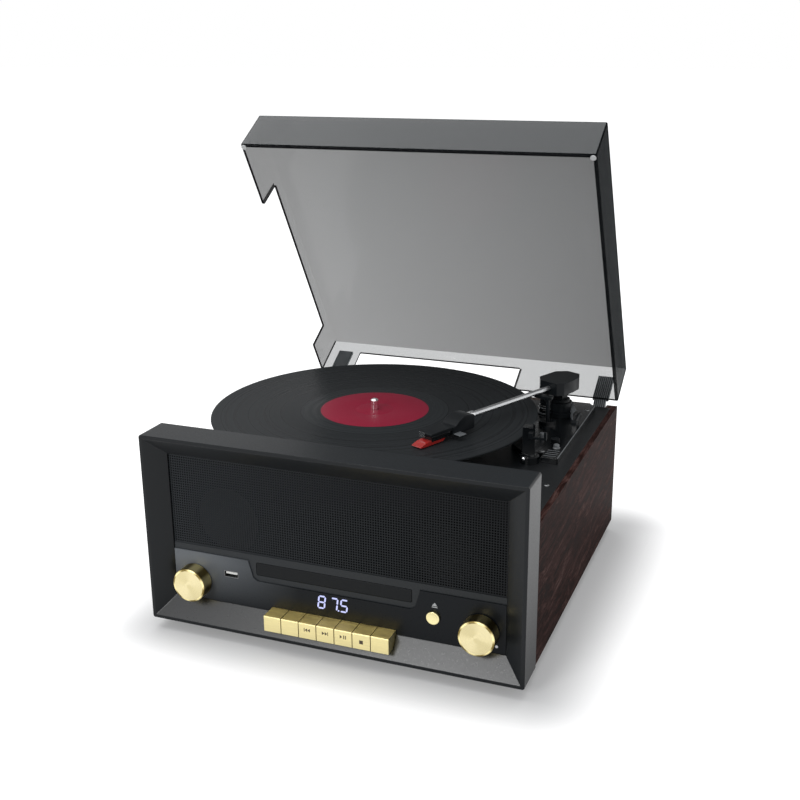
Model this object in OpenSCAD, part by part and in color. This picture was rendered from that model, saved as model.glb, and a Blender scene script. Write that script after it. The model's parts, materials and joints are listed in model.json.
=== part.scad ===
// Stereo music centre: record deck, CD drawer and radio in a veneered cabinet.
// The working frame has X = 0 on the cabinet's middle, Y = 0 at the bezel's
// front rim with +Y towards the back, and Z = 0 on the table. place() moves
// every piece so that the origin is at the bottom centre of the whole object.

/* [Cabinet] */
// Width over the veneered side panels
cabinet_w = 326; // [322:1:330]
// Depth from the bezel's front rim to the back panel
cabinet_d = 338; // [336:1:360]
// Height of the veneered panels
cabinet_h = 122; // [118:1:130]
// Thickness of the veneered panels
panel_t = 8; // [6:0.5:10]
// Thickness of the plinth deck
deck_t = 3; // [2:0.5:5]
// Width by which the deck lies over each veneered panel
deck_lap = 3; // [2:0.5:5]
// Width of the corner blocks that the back is screwed to
batten_w = 12; // [10:1:16]
// Height of the feet
foot_h = 10; // [6:1:20]
// Radius of the feet
foot_r = 12; // [8:1:16]
// Distance of a foot's middle from the cabinet's side and back
foot_inset = 24; // [20:1:40]
// Radius of the screw that holds a foot
foot_screw_r = 2; // [1.5:0.25:3]

/* [Bezel] */
// Width of the picture-frame bezel
bezel_w = 329; // [328:1:336]
// Height of the bezel
bezel_h = 166; // [160:1:180]
// Depth of the bezel
bezel_d = 33; // [30:1:36]
// Wall thickness of the bezel moulding
bezel_t = 3; // [2:0.5:4]
// Width of the flat rim around the front
rim_w = 3; // [1:0.5:5]
// Depth at which the sloping sides end
recess_d = 12; // [8:1:14]
// Thickness of the lip where the sloping sides end
lip_t = 1.5; // [1:0.25:2.5]
// Width of the side bars, seen from the front
side_bar = 18.5; // [14:0.5:24]
// Height of the top bar, seen from the front
top_bar = 18; // [12:1:24]
// Height of the bottom bar, seen from the front
bottom_bar = 20; // [19:0.5:22]
// Corner radius of the bezel's outline
bezel_r = 2; // [0.5:0.5:6]

/* [Front panel] */
// Height of the glossy control plate
plate_h = 42.5; // [41:0.5:46]
// Thickness of the glossy control plate
plate_t = 1; // [0.8:0.1:2]
// Height of the matt strip under the grille
strip_h = 5.8; // [4:0.2:9]
// Thickness of the front panel behind the plate
fascia_t = 3; // [2:0.5:4]
// Distance that panel and grille reach behind the lip
tuck = 4; // [2:0.5:6]
// Thickness of the speaker grille sheet
grille_t = 0.8; // [0.6:0.1:1.2]
// Thickness of the speaker baffle
baffle_t = 6; // [4:0.5:8]
// Side gap around fixed pieces that drop into an opening
fit_gap = 0.2; // [0.1:0.05:0.4]
// Gap around pieces that move
move_gap = 0.3; // [0.2:0.05:0.5]
// Radial clearance of a shaft in its bush
run_gap = 0.05; // [0.02:0.01:0.1]

/* [Speakers] */
// Distance of each speaker's middle from the opening's side
speaker_in = 51; // [41:1:56]
// Radius of the speaker's rim
speaker_r = 33; // [28:1:35]
// Radius of the magnet
magnet_r = 20; // [14:1:22]
// Depth of the speaker behind the baffle
speaker_d = 28; // [24:1:36]

/* [Controls] */
// Distance of a knob's middle from the opening's side
knob_in = 20; // [19:0.5:24]
// Height of the knobs' middle above the control plate's foot
knob_up = 17; // [16:0.5:20]
// Radius of the knobs
knob_r = 14.9; // [12:0.1:15.5]
// Length of the knobs
knob_l = 13; // [8:0.5:18]
// Radius of the knobs' shafts
shaft_r = 3; // [2.5:0.25:4]
// Number of piano keys
key_n = 7;
// Distance from one key to the next
key_pitch = 15.8; // [14:0.1:17]
// Height of a key's front
key_h = 13.6; // [11:0.2:15]
// Distance that the keys stand in front of the rim
key_proud = 3.6; // [1:0.2:6]
// Distance of the keys above the bezel's foot
key_up = 10; // [8:0.5:12]
// Travel of the keys and the eject button
key_travel = 2; // [1:0.25:3]
// Radius of the eject button
eject_r = 5.5; // [4:0.25:7]
// Distance of the eject button from the drawer's surround
eject_out = 11.5; // [8.5:0.5:19]
// Height of the eject button above the knobs' middle
eject_up = 4.5; // [2:0.5:6]
// Width of the display window
display_w = 44; // [36:1:52]
// Height of the display window
display_h = 15; // [12:1:16]
// Width of the USB socket's shell
usb_w = 13.1; // [12.5:0.1:14]
// Height of the USB socket's shell
usb_h = 5.7; // [5.1:0.1:6.5]
// Distance of the USB socket from the drawer's surround
usb_out = 16.7; // [12.5:0.1:20]
// Height of the USB socket above the knobs' middle
usb_up = 10; // [7:0.5:12]
// Thickness of the circuit boards
pcb_t = 1.6; // [1:0.2:2]

/* [CD drawer] */
// Width of the drawer's front
drawer_w = 137; // [134:1:142]
// Height of the drawer's front
drawer_h = 11; // [9:0.5:12]
// Height of the drawer above the opening's foot
drawer_up = 30.5; // [29:0.5:30.5]
// Width of the sunk surround beside the drawer's front
surround_w = 7; // [5:0.5:9]
// Width of the disc tray
tray_w = 130; // [127:1:132]
// Length of the disc tray
tray_l = 160; // [152:1:170]
// Thickness of the disc tray
tray_t = 5; // [4:0.5:6]
// Radius of the tray's disc recess
disc_r = 60.5; // [60.2:0.1:61]
// Depth of the tray's disc recess
disc_dip = 2; // [1.5:0.25:2.5]
// Width of the slot that the hub and the laser look through
tray_slot = 36; // [32:1:44]
// Thickness of the loader's chassis
chassis_t = 3; // [2:0.5:4]
// Height of the drawer above the loader's chassis
loader_down = 20.5; // [20:0.5:22]
// Length of the loader behind the closed tray
loader_back = 36; // [20:1:50]
// Distance of the sled's guide rods from the middle
rod_x = 22; // [19:0.5:28]
// Radius of the sled's guide rods
rod_r = 1.5; // [1:0.25:2]
// Travel of the laser sled
sled_travel = 33; // [20:1:36]
// Length of the laser sled
sled_l = 30; // [24:1:34]

/* [Turntable] */
// Distance of the spindle to the left of the middle
spindle_x = 34; // [30:1:40]
// Distance of the spindle behind the bezel's front rim
spindle_y = 188; // [186:1:192]
// Radius of the spindle's free end
spindle_r = 3.55; // [3.5:0.01:3.58]
// Depth of the waist inside platter and record, below the spindle's free end
spindle_waist = 0.25; // [0.2:0.05:0.5]
// Length of the spindle above the record
spindle_up = 10.5; // [8:0.5:14]
// Height of the platter's top above the deck
platter_top = 18; // [16:0.5:19]
// Radius of the platter
platter_r = 98; // [92:1:110]
// Height of the platter's skirt
platter_h = 12; // [10:0.5:13]
// Wall thickness of the platter
platter_t = 3; // [2:0.5:5]
// Radius of the platter's drive rim
drive_r = 80; // [74:1:82]
// Radius of the motor pulley
pulley_r = 5; // [4:0.25:6]
// Distance from the spindle to the motor
motor_off = 88; // [86.5:0.5:89]
// Direction of the motor seen from the spindle
motor_dir = 215; // [200:1:230]
// Radius of the motor
motor_r = 16; // [12:1:18]
// Height of the motor under the deck
motor_h = 22; // [18:1:30]
// Thickness of the belt
belt_t = 0.8; // [0.6:0.1:1.2]
// Width of the belt
belt_w = 4; // [3:0.5:5]
// Thickness of the slip mat
mat_t = 2; // [1:0.25:3]
// Radius of the record
record_r = 150.5; // [149.5:0.1:151]
// Thickness of the record
record_t = 1.9; // [1.5:0.1:2.3]
// Radius of the record's label
label_r = 50; // [49:0.5:51]

/* [Tonearm] */
// Distance of the arm's pivot to the right of the middle
pivot_x = 119; // [118:1:121]
// Distance of the arm's pivot behind the bezel's front rim
pivot_y = 281; // [278:1:284]
// Distance from the pivot to the stylus
arm_l = 186; // [184:1:190]
// Height of the arm tube's middle above the deck
arm_up = 35; // [34:0.5:37]
// Angle of the arm in front of the pivot, turned inwards
arm_angle = 24.3; // [20:0.1:30]
// Outer radius of the arm tube
tube_r = 2.5; // [2:0.1:3]
// Wall thickness of the arm tube
tube_t = 0.6; // [0.4:0.1:1]
// Reach of the pivot block towards the record
block_in = 18; // [16:0.5:20]
// Reach of the pivot block away from the record
block_out = 13.5; // [13:0.5:16]
// Reach of the pivot block in front of the pivot
block_front = 19; // [17:0.5:21]
// Reach of the pivot block behind the pivot
block_back = 23; // [20:0.5:25]
// Height of the pivot block
block_h = 12; // [11:0.5:13]
// Length of the headshell
head_l = 53; // [51:1:56]
// Width of the headshell
head_w = 16; // [13:0.5:18]
// Height of the mechanism plate above the deck
mech_h = 5; // [4:0.5:7]
// Reach of the mechanism plate from the pivot towards the record
mech_in = 21; // [19:0.5:23]
// Reach of the mechanism plate from the pivot away from the record
mech_out = 27; // [26:0.5:29]
// Reach of the mechanism plate behind the pivot
mech_back = 40; // [34:1:42]
// Distance from the pivot to the arm rest
rest_off = 120; // [110:1:124]
// Distance by which the arm rest stands further out than the pivot
rest_out = 2.4; // [2:0.1:4]
// Radius of the arm rest's foot
rest_r = 8.5; // [7:0.5:10]

/* [Dust cover] */
// Width of the cover
cover_w = 325; // [324:1:328]
// Depth of the cover from back to front
cover_d = 298.6; // [297:0.1:299]
// Height of the cover's walls
cover_h = 45; // [44:0.5:50]
// Wall thickness of the cover
cover_t = 3; // [2:0.5:3.5]
// Angle at which the cover stands open
cover_open = 59; // [50:1:70]
// Height of the notches that let the record pass
notch_h = 29.5; // [26:0.5:32]
// Length of the notch in the left wall
notch_l = 190; // [180:1:192]
// Reach of the back notch to the left of the spindle
notch_left = 92; // [84:1:96]
// Reach of the back notch to the right of the spindle
notch_right = 89; // [84:1:94]
// Thickness of the cover's bumpers
bumper_t = 0.8; // [0.6:0.1:1]
// Radius of the cover's bumpers
bumper_r = 2.5; // [2:0.25:4]
// Distance of the hinges from the middle
hinge_x = 144.5; // [140:0.5:146]
// Width of a hinge
hinge_w = 16; // [12:0.5:16]
// Height of the hinge axis below the deck's top
hinge_down = 8; // [7:0.5:10]
// Radius of the hinge pins
hinge_pin_r = 1.5; // [1:0.25:2]
// Height of the hinge arm on the cover's back wall
hinge_arm_h = 32; // [26:1:38]

/* [Hidden] */
$fn = 64;
e = 1; // overshoot of a cut past a face

// Cabinet places
floor_z = foot_h;
deck_z = floor_z + cabinet_h;
side_x = cabinet_w/2;
inner_x = side_x - panel_t;
back_y = cabinet_d - panel_t;
inside_z = floor_z + panel_t;
deck_under = deck_z - deck_t;

// Bezel opening and front panel places
open_x = bezel_w/2 - side_bar;
open_z0 = floor_z + bottom_bar;
open_z1 = floor_z + bezel_h - top_bar;
lip_y = recess_d + lip_t;
plate_y = lip_y - plate_t - 0.5;
fascia_y = plate_y + plate_t;
fascia_back = fascia_y + fascia_t;
plate_z1 = open_z0 + plate_h;
strip_z1 = plate_z1 + strip_h;
baffle_y = lip_y + grille_t;
speaker_z = strip_z1 + speaker_r - 7;
speaker_x = open_x - speaker_in;
knob_x = open_x - knob_in;
knob_z = open_z0 + knob_up;
surround_top = drawer_w/2 + surround_w;
surround_foot = drawer_w/2 - 1;
eject_x = surround_top + eject_out;
eject_z = knob_z + eject_up;
usb_x = surround_top + usb_out;
usb_z = knob_z + usb_up;
board_y = fascia_back + 8;

// Keys
key_w = key_pitch - 2*move_gap;
keys_x = key_n*key_pitch/2;
key_z0 = floor_z + key_up;
key_z1 = key_z0 + key_h;
key_back = board_y - key_travel - 1;
cut_z1 = key_z1 + move_gap;

// CD drawer
drawer_z0 = open_z0 + drawer_up;
drawer_z1 = drawer_z0 + drawer_h;
tray_y0 = fascia_y + 2;
tray_z0 = drawer_z0 + 0.5;
tray_z1 = tray_z0 + tray_t;
disc_y = tray_y0 + disc_r + 13;
loader_x = tray_w/2 + move_gap;
loader_y0 = fascia_back + 1;
loader_z = drawer_z0 - loader_down;
loader_l = tray_l + loader_back;
rod_z = loader_z + 10;
drawer_travel = disc_y + disc_r - lip_y;
sled_y0 = disc_y + tray_slot/2 - 1;

// Turntable
well_z = deck_z + platter_top;
mat_z = well_z + mat_t;
record_z = mat_z + record_t;
bush_r = 6;
hub_r = 12;
record_hole_r = spindle_r + 0.08;
motor_x = -spindle_x + motor_off*cos(motor_dir);
motor_y = spindle_y + motor_off*sin(motor_dir);
belt_z = well_z - platter_t - belt_w - 1;
pulley_z0 = belt_z - 1;

// Tonearm, in its own frame: pivot at 0, 0 and the head towards -Y
arm_z = deck_z + arm_up;
mech_z = deck_z + mech_h;
block_z0 = arm_z - block_h/2;
head_y0 = 2 - arm_l;
head_y1 = head_y0 + head_l;
swing_r = 4;
base_top = block_z0 - 11;
stylus_z = record_z + 0.15 + move_gap;
rest_x = pivot_x + rest_out;
rest_y = pivot_y - rest_off;
lift_r = 33;

// Dust cover, worked out closed and then turned about its hinges
rim_z = deck_z + 1;
hinge_y = cabinet_d + 2;
hinge_z = deck_z - hinge_down;
cover_back = bezel_d + 1.1 + cover_d;
notch_y0 = spindle_y - sqrt(pow(record_r, 2)
    - pow(cover_w/2 - cover_t - spindle_x, 2)) - 2.3;

// Bottom centre of everything, the cover standing open
function turned(y, z) = let (dy = y - hinge_y, dz = z - hinge_z)
    [hinge_y + dy*cos(cover_open) + dz*sin(cover_open),
     hinge_z - dy*sin(cover_open) + dz*cos(cover_open)];
y_high = turned(cover_back, rim_z + cover_h)[0];
x_low = -max(bezel_w/2, record_r + spindle_x);
x_high = bezel_w/2;
y_low = -key_proud;
shift = [-(x_low + x_high)/2, -(y_low + y_high)/2, 0];

module place() translate(shift) children();

// Box between two corners
module block(a, b) translate(a) cube(b - a);

// Rectangle with round corners, drawn about its middle
module rounded(w, h, r) {
    square([w - 2*r, h], center = true);
    square([w, h - 2*r], center = true);
    for (sx = [-1, 1], sy = [-1, 1])
        translate([sx*(w/2 - r), sy*(h/2 - r)]) circle(r);
}

// Flat shape drawn in X and Z, standing from depth y0 to depth y1
module upright(y0, y1)
    translate([0, y1, 0]) rotate([90, 0, 0]) linear_extrude(y1 - y0) children();

// Flat shape drawn in Y and Z, from x0 to x1
module sideways(x0, x1)
    translate([x0, 0, 0]) rotate([90, 0, 90]) linear_extrude(x1 - x0) children();

// Round bar along Y
module bar_y(x, z, r, y0, y1) upright(y0, y1) translate([x, z]) circle(r);

// Round bar along X
module bar_x(y, z, r, x0, x1) sideways(x0, x1) translate([y, z]) circle(r);

// Round bar along Z
module bar_z(x, y, r, z0, z1) translate([x, y, z0]) cylinder(h = z1 - z0, r = r);

// ---------------------------------------------------------------- cabinet

// Veneered panel with a rebate for the deck and a corner block for the back
module side_panel(side)
    color("#3b2622")
    mirror([side > 0 ? 0 : 1, 0, 0]) difference() {
        union() {
            block([inner_x, bezel_d, floor_z], [side_x, cabinet_d, deck_z]);
            block([inner_x - batten_w, back_y - batten_w, inside_z],
                [inner_x, back_y, deck_under]);
        }
        block([inner_x - e, bezel_d - e, deck_under],
            [inner_x + deck_lap, back_y, deck_z + e]);
        for (z = screw_z)
            bar_y(screw_x, z, screw_r + run_gap, back_y - screw_l, back_y + e);
    }

module side_panel_left() side_panel(-1);
module side_panel_right() side_panel(1);

foot_x = side_x - foot_inset;
foot_y = [bezel_d + foot_inset, cabinet_d - foot_inset];

module bottom_panel()
    color("#33241f")
    difference() {
        block([-inner_x, bezel_d, floor_z], [inner_x, back_y, inside_z]);
        for (sx = [-1, 1], y = foot_y)
            bar_z(sx*foot_x, y, foot_screw_r + run_gap, floor_z - e, inside_z + e);
    }

module feet()
    color("#202122")
    for (sx = [-1, 1], y = foot_y) {
        bar_z(sx*foot_x, y, foot_r, 0, foot_h);
        bar_z(sx*foot_x, y, foot_screw_r, foot_h, inside_z - 1);
    }

jack_w = 110;
jack_h = 34;
jack_z = floor_z + 42;
jack_t = 2.5;
screw_r = 1.6;
screw_x = inner_x - batten_w/2;
screw_z = [floor_z + 14, deck_z - 28];
screw_l = 8;
mortise_z = hinge_z - 10;

module back_panel()
    color("#33241f")
    difference() {
        block([-inner_x, back_y, floor_z], [inner_x, cabinet_d, deck_z]);
        upright(back_y - e, cabinet_d + e)
            translate([0, jack_z]) square([jack_w, jack_h], center = true);
        for (sx = [-1, 1])
            block([sx*hinge_x - hinge_w/2 - fit_gap, back_y - e, mortise_z],
                [sx*hinge_x + hinge_w/2 + fit_gap, cabinet_d + e, deck_z + e]);
        for (sx = [-1, 1], z = screw_z)
            bar_y(sx*screw_x, z, screw_r + run_gap, back_y - e, cabinet_d + e);
    }

module back_screws()
    color("#8a8a8a")
    for (x = [-screw_x, screw_x], z = screw_z) {
        bar_y(x, z, screw_r, back_y - screw_l + 1, cabinet_d);
        difference() {
            bar_y(x, z, 2*screw_r, cabinet_d, cabinet_d + 1.6);
            block([x - 0.3, cabinet_d + 0.8, z - 2], [x + 0.3, cabinet_d + 3, z + 2]);
            block([x - 2, cabinet_d + 0.8, z - 0.3], [x + 2, cabinet_d + 3, z + 0.3]);
        }
    }

rca_x = [-38, -22];
aux_x = -4;
power_x = 22;
aerial_x = 42;
rca_r = 4.15;

module jack_plate()
    color("#1d1e20")
    difference() {
        upright(cabinet_d - jack_t, cabinet_d)
            translate([0, jack_z]) square([jack_w, jack_h], center = true);
        for (x = rca_x) bar_y(x, jack_z, rca_r + fit_gap, back_y, cabinet_d + e);
        bar_y(aux_x, jack_z, 3 + fit_gap, back_y, cabinet_d + e);
        bar_y(power_x, jack_z, 4 + fit_gap, back_y, cabinet_d + e);
        bar_y(aerial_x, jack_z, 1.5, back_y, cabinet_d + e);
    }

module audio_sockets()
    color("#b8b9bb") {
        for (x = rca_x)
            difference() {
                union() {
                    bar_y(x, jack_z, rca_r - 0.15, cabinet_d - jack_t, cabinet_d);
                    bar_y(x, jack_z, rca_r, cabinet_d, cabinet_d + 8);
                    upright(cabinet_d - jack_t - 10, cabinet_d - jack_t)
                        translate([x, jack_z]) square(12, center = true);
                }
                bar_y(x, jack_z, 1.65, cabinet_d - 8, cabinet_d + 9);
            }
        difference() {
            union() {
                bar_y(aux_x, jack_z, 3, cabinet_d - jack_t, cabinet_d + 0.5);
                upright(cabinet_d - jack_t - 12, cabinet_d - jack_t)
                    translate([aux_x, jack_z]) square(9, center = true);
            }
            bar_y(aux_x, jack_z, 1.8, cabinet_d - 13.5, cabinet_d + e);
        }
    }

module power_socket()
    color("#1a1a1c")
    difference() {
        union() {
            bar_y(power_x, jack_z, 4, cabinet_d - jack_t, cabinet_d);
            upright(cabinet_d - jack_t - 11, cabinet_d - jack_t)
                translate([power_x, jack_z]) square(11, center = true);
        }
        difference() {
            bar_y(power_x, jack_z, 3, cabinet_d - 9.5, cabinet_d + e);
            bar_y(power_x, jack_z, 1.05, cabinet_d - 9.5, cabinet_d - 1);
        }
    }

arm_hole_r = 9;
motor_hole_r = pulley_r + 1.5;

module deck()
    color("#232629")
    difference() {
        union() {
            block([-inner_x - deck_lap, bezel_d, deck_under],
                [inner_x + deck_lap, back_y, deck_z]);
            for (sx = [-1, 1])
                block([sx > 0 ? inner_x - 3 : -inner_x, bezel_d, deck_under - 8],
                    [sx > 0 ? inner_x : 3 - inner_x, back_y - batten_w, deck_under]);
        }
        bar_z(-spindle_x, spindle_y, bush_r, deck_under - e, deck_z + e);
        bar_z(motor_x, motor_y, motor_hole_r, deck_under - e, deck_z + e);
        bar_z(pivot_x, pivot_y, arm_hole_r + fit_gap, deck_under - e, deck_z + e);
    }

// ------------------------------------------------------------------ front

// Space inside the sloping sides, from the rim to depth y1. It narrows from
// the rim to the lip, and lies t further back for the hidden side of the walls
module funnel(t, y1) {
    x0 = bezel_w/2 - rim_w;
    z0 = floor_z + rim_w;
    z1 = floor_z + bezel_h - rim_w;
    far = max(y1, recess_d + t + e);
    intersection() {
        block([-bezel_w, -e, 0], [bezel_w, y1, floor_z + 2*bezel_h]);
        linear_extrude(floor_z + 2*bezel_h)
            polygon([[-x0, -e], [x0, -e], [x0, t], [open_x, recess_d + t], [open_x, far],
                [-open_x, far], [-open_x, recess_d + t], [-x0, t]]);
        sideways(-bezel_w, bezel_w)
            polygon([[-e, z0], [t, z0], [recess_d + t, open_z0], [far, open_z0],
                [far, open_z1], [recess_d + t, open_z1], [t, z1], [-e, z1]]);
    }
}

module bezel()
    color("#2c3033")
    difference() {
        upright(0, bezel_d)
            translate([0, floor_z + bezel_h/2]) rounded(bezel_w, bezel_h, bezel_r);
        funnel(0, lip_y + e);
        difference() {
            block([bezel_t - bezel_w/2, bezel_t, floor_z + bezel_t],
                [bezel_w/2 - bezel_t, bezel_d + e, floor_z + bezel_h - bezel_t]);
            funnel(bezel_t, lip_y);
            block([-bezel_w, bezel_d - bezel_t, deck_z],
                [bezel_w, bezel_d + 2*e, floor_z + bezel_h]);
        }
        block([-keys_x - move_gap, -e, key_z0 - move_gap],
            [keys_x + move_gap, lip_y + e, open_z0 + e]);
    }

module speaker_grille()
    color("#1b1c1e")
    block([-open_x - tuck, lip_y, strip_z1],
        [open_x + tuck, baffle_y, open_z1 + tuck]);

module speaker_baffle()
    color("#4a3c2e")
    difference() {
        block([-open_x - tuck, baffle_y, strip_z1 - tuck],
            [open_x + tuck, baffle_y + baffle_t, open_z1 + tuck]);
        block([-open_x - 2*tuck, baffle_y - e, strip_z1 - tuck - e],
            [open_x + 2*tuck, fascia_back, strip_z1]);
        for (sx = [-1, 1])
            bar_y(sx*speaker_x, speaker_z, speaker_r - 4, baffle_y - e, baffle_y + baffle_t + e);
    }

// Driver turned about its own axis: rim, cone, basket and magnet
module speaker(side) {
    y0 = baffle_y + baffle_t;
    color("#3a3a3c")
        translate([side*speaker_x, y0, speaker_z]) rotate([-90, 0, 0])
        rotate_extrude() polygon([[0, 6], [7, 8], [speaker_r - 5, 0.5],
            [speaker_r - 4, 0], [speaker_r, 0], [speaker_r, 2], [speaker_r - 5, 2],
            [magnet_r - 2, speaker_d - 12], [magnet_r, speaker_d - 12],
            [magnet_r, speaker_d], [0, speaker_d]]);
}

module speaker_left() speaker(-1);
module speaker_right() speaker(1);

lamp_x = knob_x + 12.5;
lamp_z = open_z0 + 6;
lamp_r = 1.4;
surround_z = drawer_z0 - 5.5;

// Shapes cut from both the control plate and the front panel behind it
module control_holes(gap) {
    for (sx = [-1, 1]) translate([sx*knob_x, knob_z]) circle(shaft_r + 1);
    translate([eject_x, eject_z]) circle(eject_r + gap);
    translate([-usb_x, usb_z]) square([usb_w + 2*fit_gap, usb_h + 2*fit_gap], center = true);
    translate([lamp_x, lamp_z]) circle(lamp_r + fit_gap);
    translate([-keys_x - gap, floor_z]) square([2*(keys_x + gap), cut_z1 - floor_z]);
}

module control_plate()
    color("#141618")
    upright(plate_y, fascia_y)
    difference() {
        translate([-open_x + fit_gap, open_z0 + fit_gap])
            square([2*(open_x - fit_gap), plate_h - fit_gap]);
        control_holes(move_gap);
        polygon([[-surround_top, plate_z1 + e], [-surround_top, plate_z1 - 1],
            [-surround_foot - 4, surround_z + 2.5], [-surround_foot, surround_z],
            [surround_foot, surround_z], [surround_foot + 4, surround_z + 2.5],
            [surround_top, plate_z1 - 1], [surround_top, plate_z1 + e]]);
    }

module fascia_panel()
    color("#25282a")
    difference() {
        union() {
            block([-open_x + fit_gap, fascia_y, open_z0 + fit_gap],
                [open_x - fit_gap, fascia_back, strip_z1]);
            block([-open_x - tuck, lip_y, open_z0 - tuck],
                [open_x + tuck, fascia_back, strip_z1]);
        }
        upright(fascia_y - e, fascia_back + e) control_holes(move_gap);
        upright(fascia_y - e, fascia_back + e)
            translate([0, drawer_z0 + drawer_h/2])
            rounded(drawer_w + 2*move_gap, drawer_h + 2*move_gap, 1.5);
        upright(fascia_y - e, fascia_back + e)
            translate([0, knob_z]) square([display_w, display_h], center = true);
    }

module display_module()
    color("#0e1016") {
        upright(fascia_y, fascia_back)
            translate([0, knob_z])
            square([display_w - 2*fit_gap, display_h - 2*fit_gap], center = true);
        upright(fascia_back, board_y)
            translate([0, knob_z]) square([display_w - 4, display_h - 3], center = true);
    }

module control_board()
    color("#1f5a3a") {
        block([-lamp_x - 3, board_y, open_z0 - 5], [lamp_x + 3, board_y + pcb_t, knob_z + 8]);
        block([-usb_x - 8, board_y, usb_z - 2], [8 - usb_x, board_y + pcb_t, usb_z + 4]);
        // rotary encoders with their bushes
        for (sx = [-1, 1])
            difference() {
                upright(fascia_back, board_y)
                    translate([sx*knob_x, knob_z]) square(12, center = true);
                bar_y(sx*knob_x, knob_z, shaft_r + run_gap, fascia_back - e, board_y - 1);
            }
        // one small switch behind each key, and the lamp beside the right knob
        for (i = [0 : key_n - 1])
            upright(key_back + key_travel + 0.5, board_y)
                translate([(i - (key_n - 1)/2)*key_pitch, key_z1 - 4]) square(5, center = true);
        upright(key_back + key_travel + 0.5, board_y)
            translate([eject_x, eject_z]) square(5, center = true);
        bar_y(lamp_x, lamp_z, lamp_r, plate_y - 0.2, board_y);
    }

module usb_socket()
    color("#c9ccce")
    difference() {
        upright(plate_y, board_y)
            translate([-usb_x, usb_z]) square([usb_w, usb_h], center = true);
        difference() {
            upright(plate_y - e, board_y - 2)
                translate([-usb_x, usb_z]) square([usb_w - 0.8, usb_h - 0.8], center = true);
            upright(plate_y + 1, board_y - 2)
                translate([-usb_x, usb_z + 0.9]) square([usb_w - 2.4, 1.9], center = true);
        }
    }

module main_board()
    color("#1f5a3a") {
        x0 = 8 - inner_x;
        x1 = -loader_x - chassis_t - 6;
        y0 = bezel_d + 27;
        y1 = back_y - 30;
        z = inside_z + 6;
        block([x0, y0, z], [x1, y1, z + pcb_t]);
        for (x = [x0 + 5, x1 - 5], y = [y0 + 6, y1 - 6]) bar_z(x, y, 3, inside_z, z);
        // smoothing capacitors, heat sink and amplifier chip
        for (i = [1 : 3]) bar_z(x0 + 18, y0 + i*(y1 - y0)/8, 8, z + pcb_t, z + 26);
        block([x1 - 18, (y0 + y1)/2, z + pcb_t], [x1 - 6, y1 - 50, z + 28]);
        block([x0 + 8, (y0 + y1)/2 + 20, z + pcb_t], [x0 + 30, (y0 + y1)/2 + 42, z + pcb_t + 2]);
    }

// --------------------------------------------------------------- controls

knob_y0 = plate_y - knob_l - 0.5;

module knob(side)
    color("#d9c36a") {
        x = side*knob_x;
        translate([x, knob_y0, knob_z]) rotate([-90, 0, 0])
            rotate_extrude() polygon([[0, 0], [knob_r - 0.8, 0], [knob_r, 0.8],
                [knob_r, knob_l - 1], [knob_r - 1, knob_l], [shaft_r, knob_l],
                [shaft_r, board_y - 1.5 - knob_y0], [0, board_y - 1.5 - knob_y0]]);
    }

module tuning_knob() knob(-1);
module volume_knob() knob(1);

// Piano key: a broad front, and a stem that slides through the panel
module key(i)
    color("#d9c36a") {
        x = (i - (key_n - 1)/2)*key_pitch;
        sideways(x - key_w/2, x + key_w/2)
            polygon([[-key_proud, key_z0], [-key_proud, key_z1 - 0.6],
                [0.6 - key_proud, key_z1], [key_back, key_z1],
                [key_back, key_z0 + 6], [fascia_y, key_z0]]);
    }

module standby_key() key(0);
module source_key() key(1);
module previous_key() key(2);
module next_key() key(3);
module play_key() key(4);
module stop_key() key(5);
module record_key() key(6);

module eject_button()
    color("#d9c36a")
    translate([eject_x, plate_y - 2.5, eject_z]) rotate([-90, 0, 0])
        rotate_extrude() polygon([[0, 0], [eject_r - 0.5, 0], [eject_r, 0.5],
            [eject_r, key_back - plate_y + 2.5], [0, key_back - plate_y + 2.5]]);

// -------------------------------------------------------------- CD drawer

module cd_drawer_front()
    color("#1e2022")
    upright(fascia_y - 0.2, tray_y0)
        translate([0, drawer_z0 + drawer_h/2]) rounded(drawer_w, drawer_h, 1.2);

module cd_tray()
    color("#26282a")
    difference() {
        block([-tray_w/2, tray_y0, tray_z0], [tray_w/2, tray_y0 + tray_l, tray_z1]);
        bar_z(0, disc_y, disc_r, tray_z1 - disc_dip, tray_z1 + e);
        bar_z(0, disc_y, tray_slot/2, tray_z0 - e, tray_z1 + e);
        block([-tray_slot/2, disc_y, tray_z0 - e], [tray_slot/2, tray_y0 + tray_l + e, tray_z1 + e]);
    }

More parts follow.
